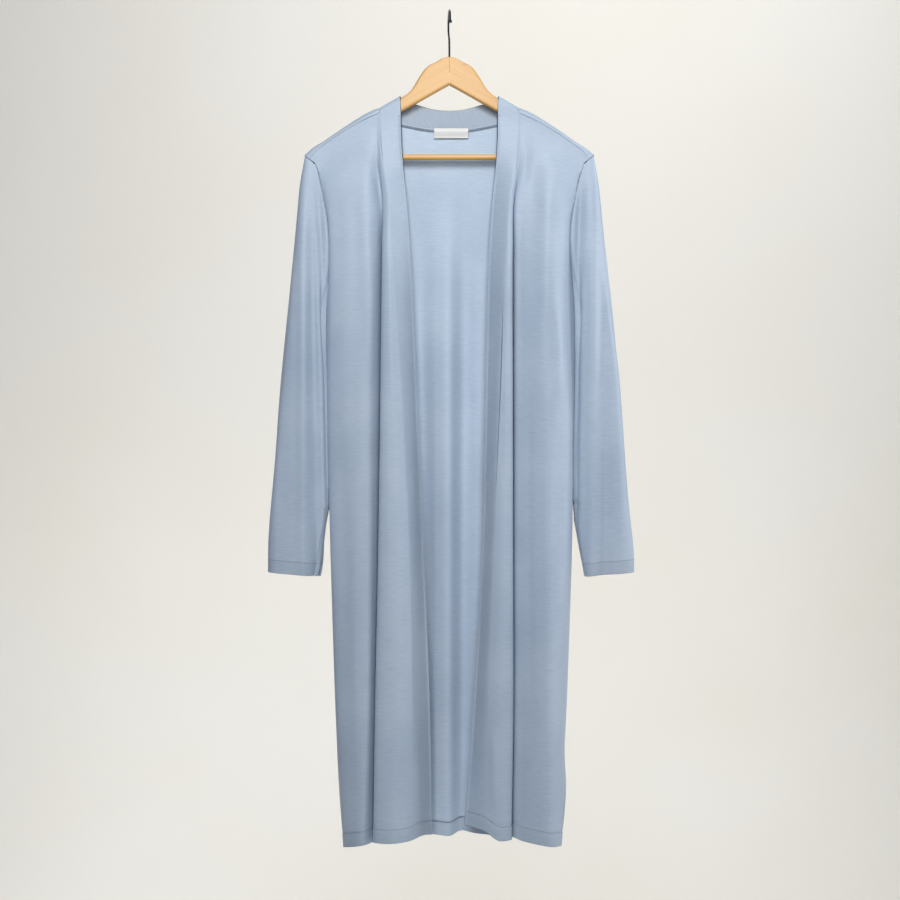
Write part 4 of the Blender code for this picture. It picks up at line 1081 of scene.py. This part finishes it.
def makeBackdrop():
    # Paper backdrop: a floor that turns up into a wall through a quarter circle
    turn = np.linspace(0.0, math.pi / 2, 17)
    low, r = -studio["floorDrop"], studio["curve"]
    bend = studio["behind"] - r
    y = np.concatenate([np.linspace(-studio["ahead"], bend, 12), bend + r * np.sin(turn[1:]),
                        np.full(8, studio["behind"])])
    z = np.concatenate([np.full(12, low), low + r - r * np.cos(turn[1:]),
                        np.linspace(low + r + 0.3, studio["top"], 8)])
    x = np.linspace(-studio["halfWidth"], studio["halfWidth"], 9)
    points = np.stack([np.repeat(x[None], len(y), 0), np.repeat(y[:, None], len(x), 1),
                       np.repeat(z[:, None], len(x), 1)], -1)
    number = np.arange(len(y) * len(x)).reshape(len(y), len(x))
    material, tree, shader, place = startMaterial("matte_studio_paper")
    colour = ramped(tree, noise(tree, place, 1.2, 2.0), [(0.3, studio["floor"]), (0.7, studio["wall"])])
    setSockets(tree, shader, {"Base Color": colour, "Roughness": 0.95})
    return makePiece("studio_backdrop", points.reshape(-1, 3) / mm, faceQuads(number, -1), material)


# Softboxes: place, aim, size, power in watts, colour
lights = {
    "key_softbox": ((0.0, -1.7, 0.95), (0.0, 0.0, -0.5), (0.7, 0.7), 38, "#FFFEFB"),
    "front_softbox": ((0.0, -3.2, 0.3), (0.0, 0.0, -0.6), (0.9, 0.9), 26, "#FFFEFB"),
    "side_softbox": ((2.2, -0.3, 0.3), (0.0, 0.0, -0.5), (0.4, 1.4), 20, "#FFFFFF"),
    "rim_softbox": ((2.2, 0.35, -0.2), (0.0, 0.0, -0.6), (0.5, 1.6), 14, "#FFFFFF"),
    "fill_softbox": ((-2.2, -1.2, 0.2), (0.0, 0.0, -0.6), (1.4, 1.4), 4, "#E6EEFF"),
    "backdrop_softbox": ((0.4, 1.7, 1.6), (0.0, 3.4, -0.9), (3.0, 0.8), 38, "#FFFEFB"),
    "floor_softbox": ((-0.2, 1.7, -1.8), (0.0, 3.4, -1.3), (3.0, 0.3), 14, "#FFFEFB"),
}


def addAreaLight(name, place, aim, size, power, colour):
    # Rectangular softbox, turned so that its face looks from its place to its aim
    light = bpy.data.lights.new(name, "AREA")
    light.shape = "RECTANGLE"
    light.size, light.size_y = size
    light.energy = power
    light.color = hexColour(colour)[:3]
    lamp = bpy.data.objects.new(name, light)
    lamp.location = place
    x, y, z = np.array(aim) - np.array(place)
    lamp.rotation_euler = (math.atan2(math.hypot(x, y), -z), 0.0, math.atan2(x, -y) + math.pi)
    lamp.visible_camera = False
    bpy.context.scene.collection.objects.link(lamp)


print("studio")
backdrop = makeBackdrop()
for name, values in lights.items():
    addAreaLight(name, *values)
world = bpy.data.worlds.new("soft_room")
bpy.context.scene.world = world
world.use_nodes = True
world.node_tree.nodes["Background"].inputs["Color"].default_value = hexColour(studio["room"])
world.node_tree.nodes["Background"].inputs["Strength"].default_value = studio["roomLight"]

view = {"lens": 81.1, "sensor": 36.0, "place": (0.001, -3.0, -0.649)}
cameraData = bpy.data.cameras.new("camera")
cameraData.lens = view["lens"]
cameraData.sensor_width = view["sensor"]
camera = bpy.data.objects.new("camera", cameraData)
camera.location = view["place"]
camera.rotation_euler = (math.pi / 2, 0.0, 0.0)
bpy.context.scene.collection.objects.link(camera)
bpy.context.scene.camera = camera
bpy.context.scene.view_settings.view_transform = "Standard"
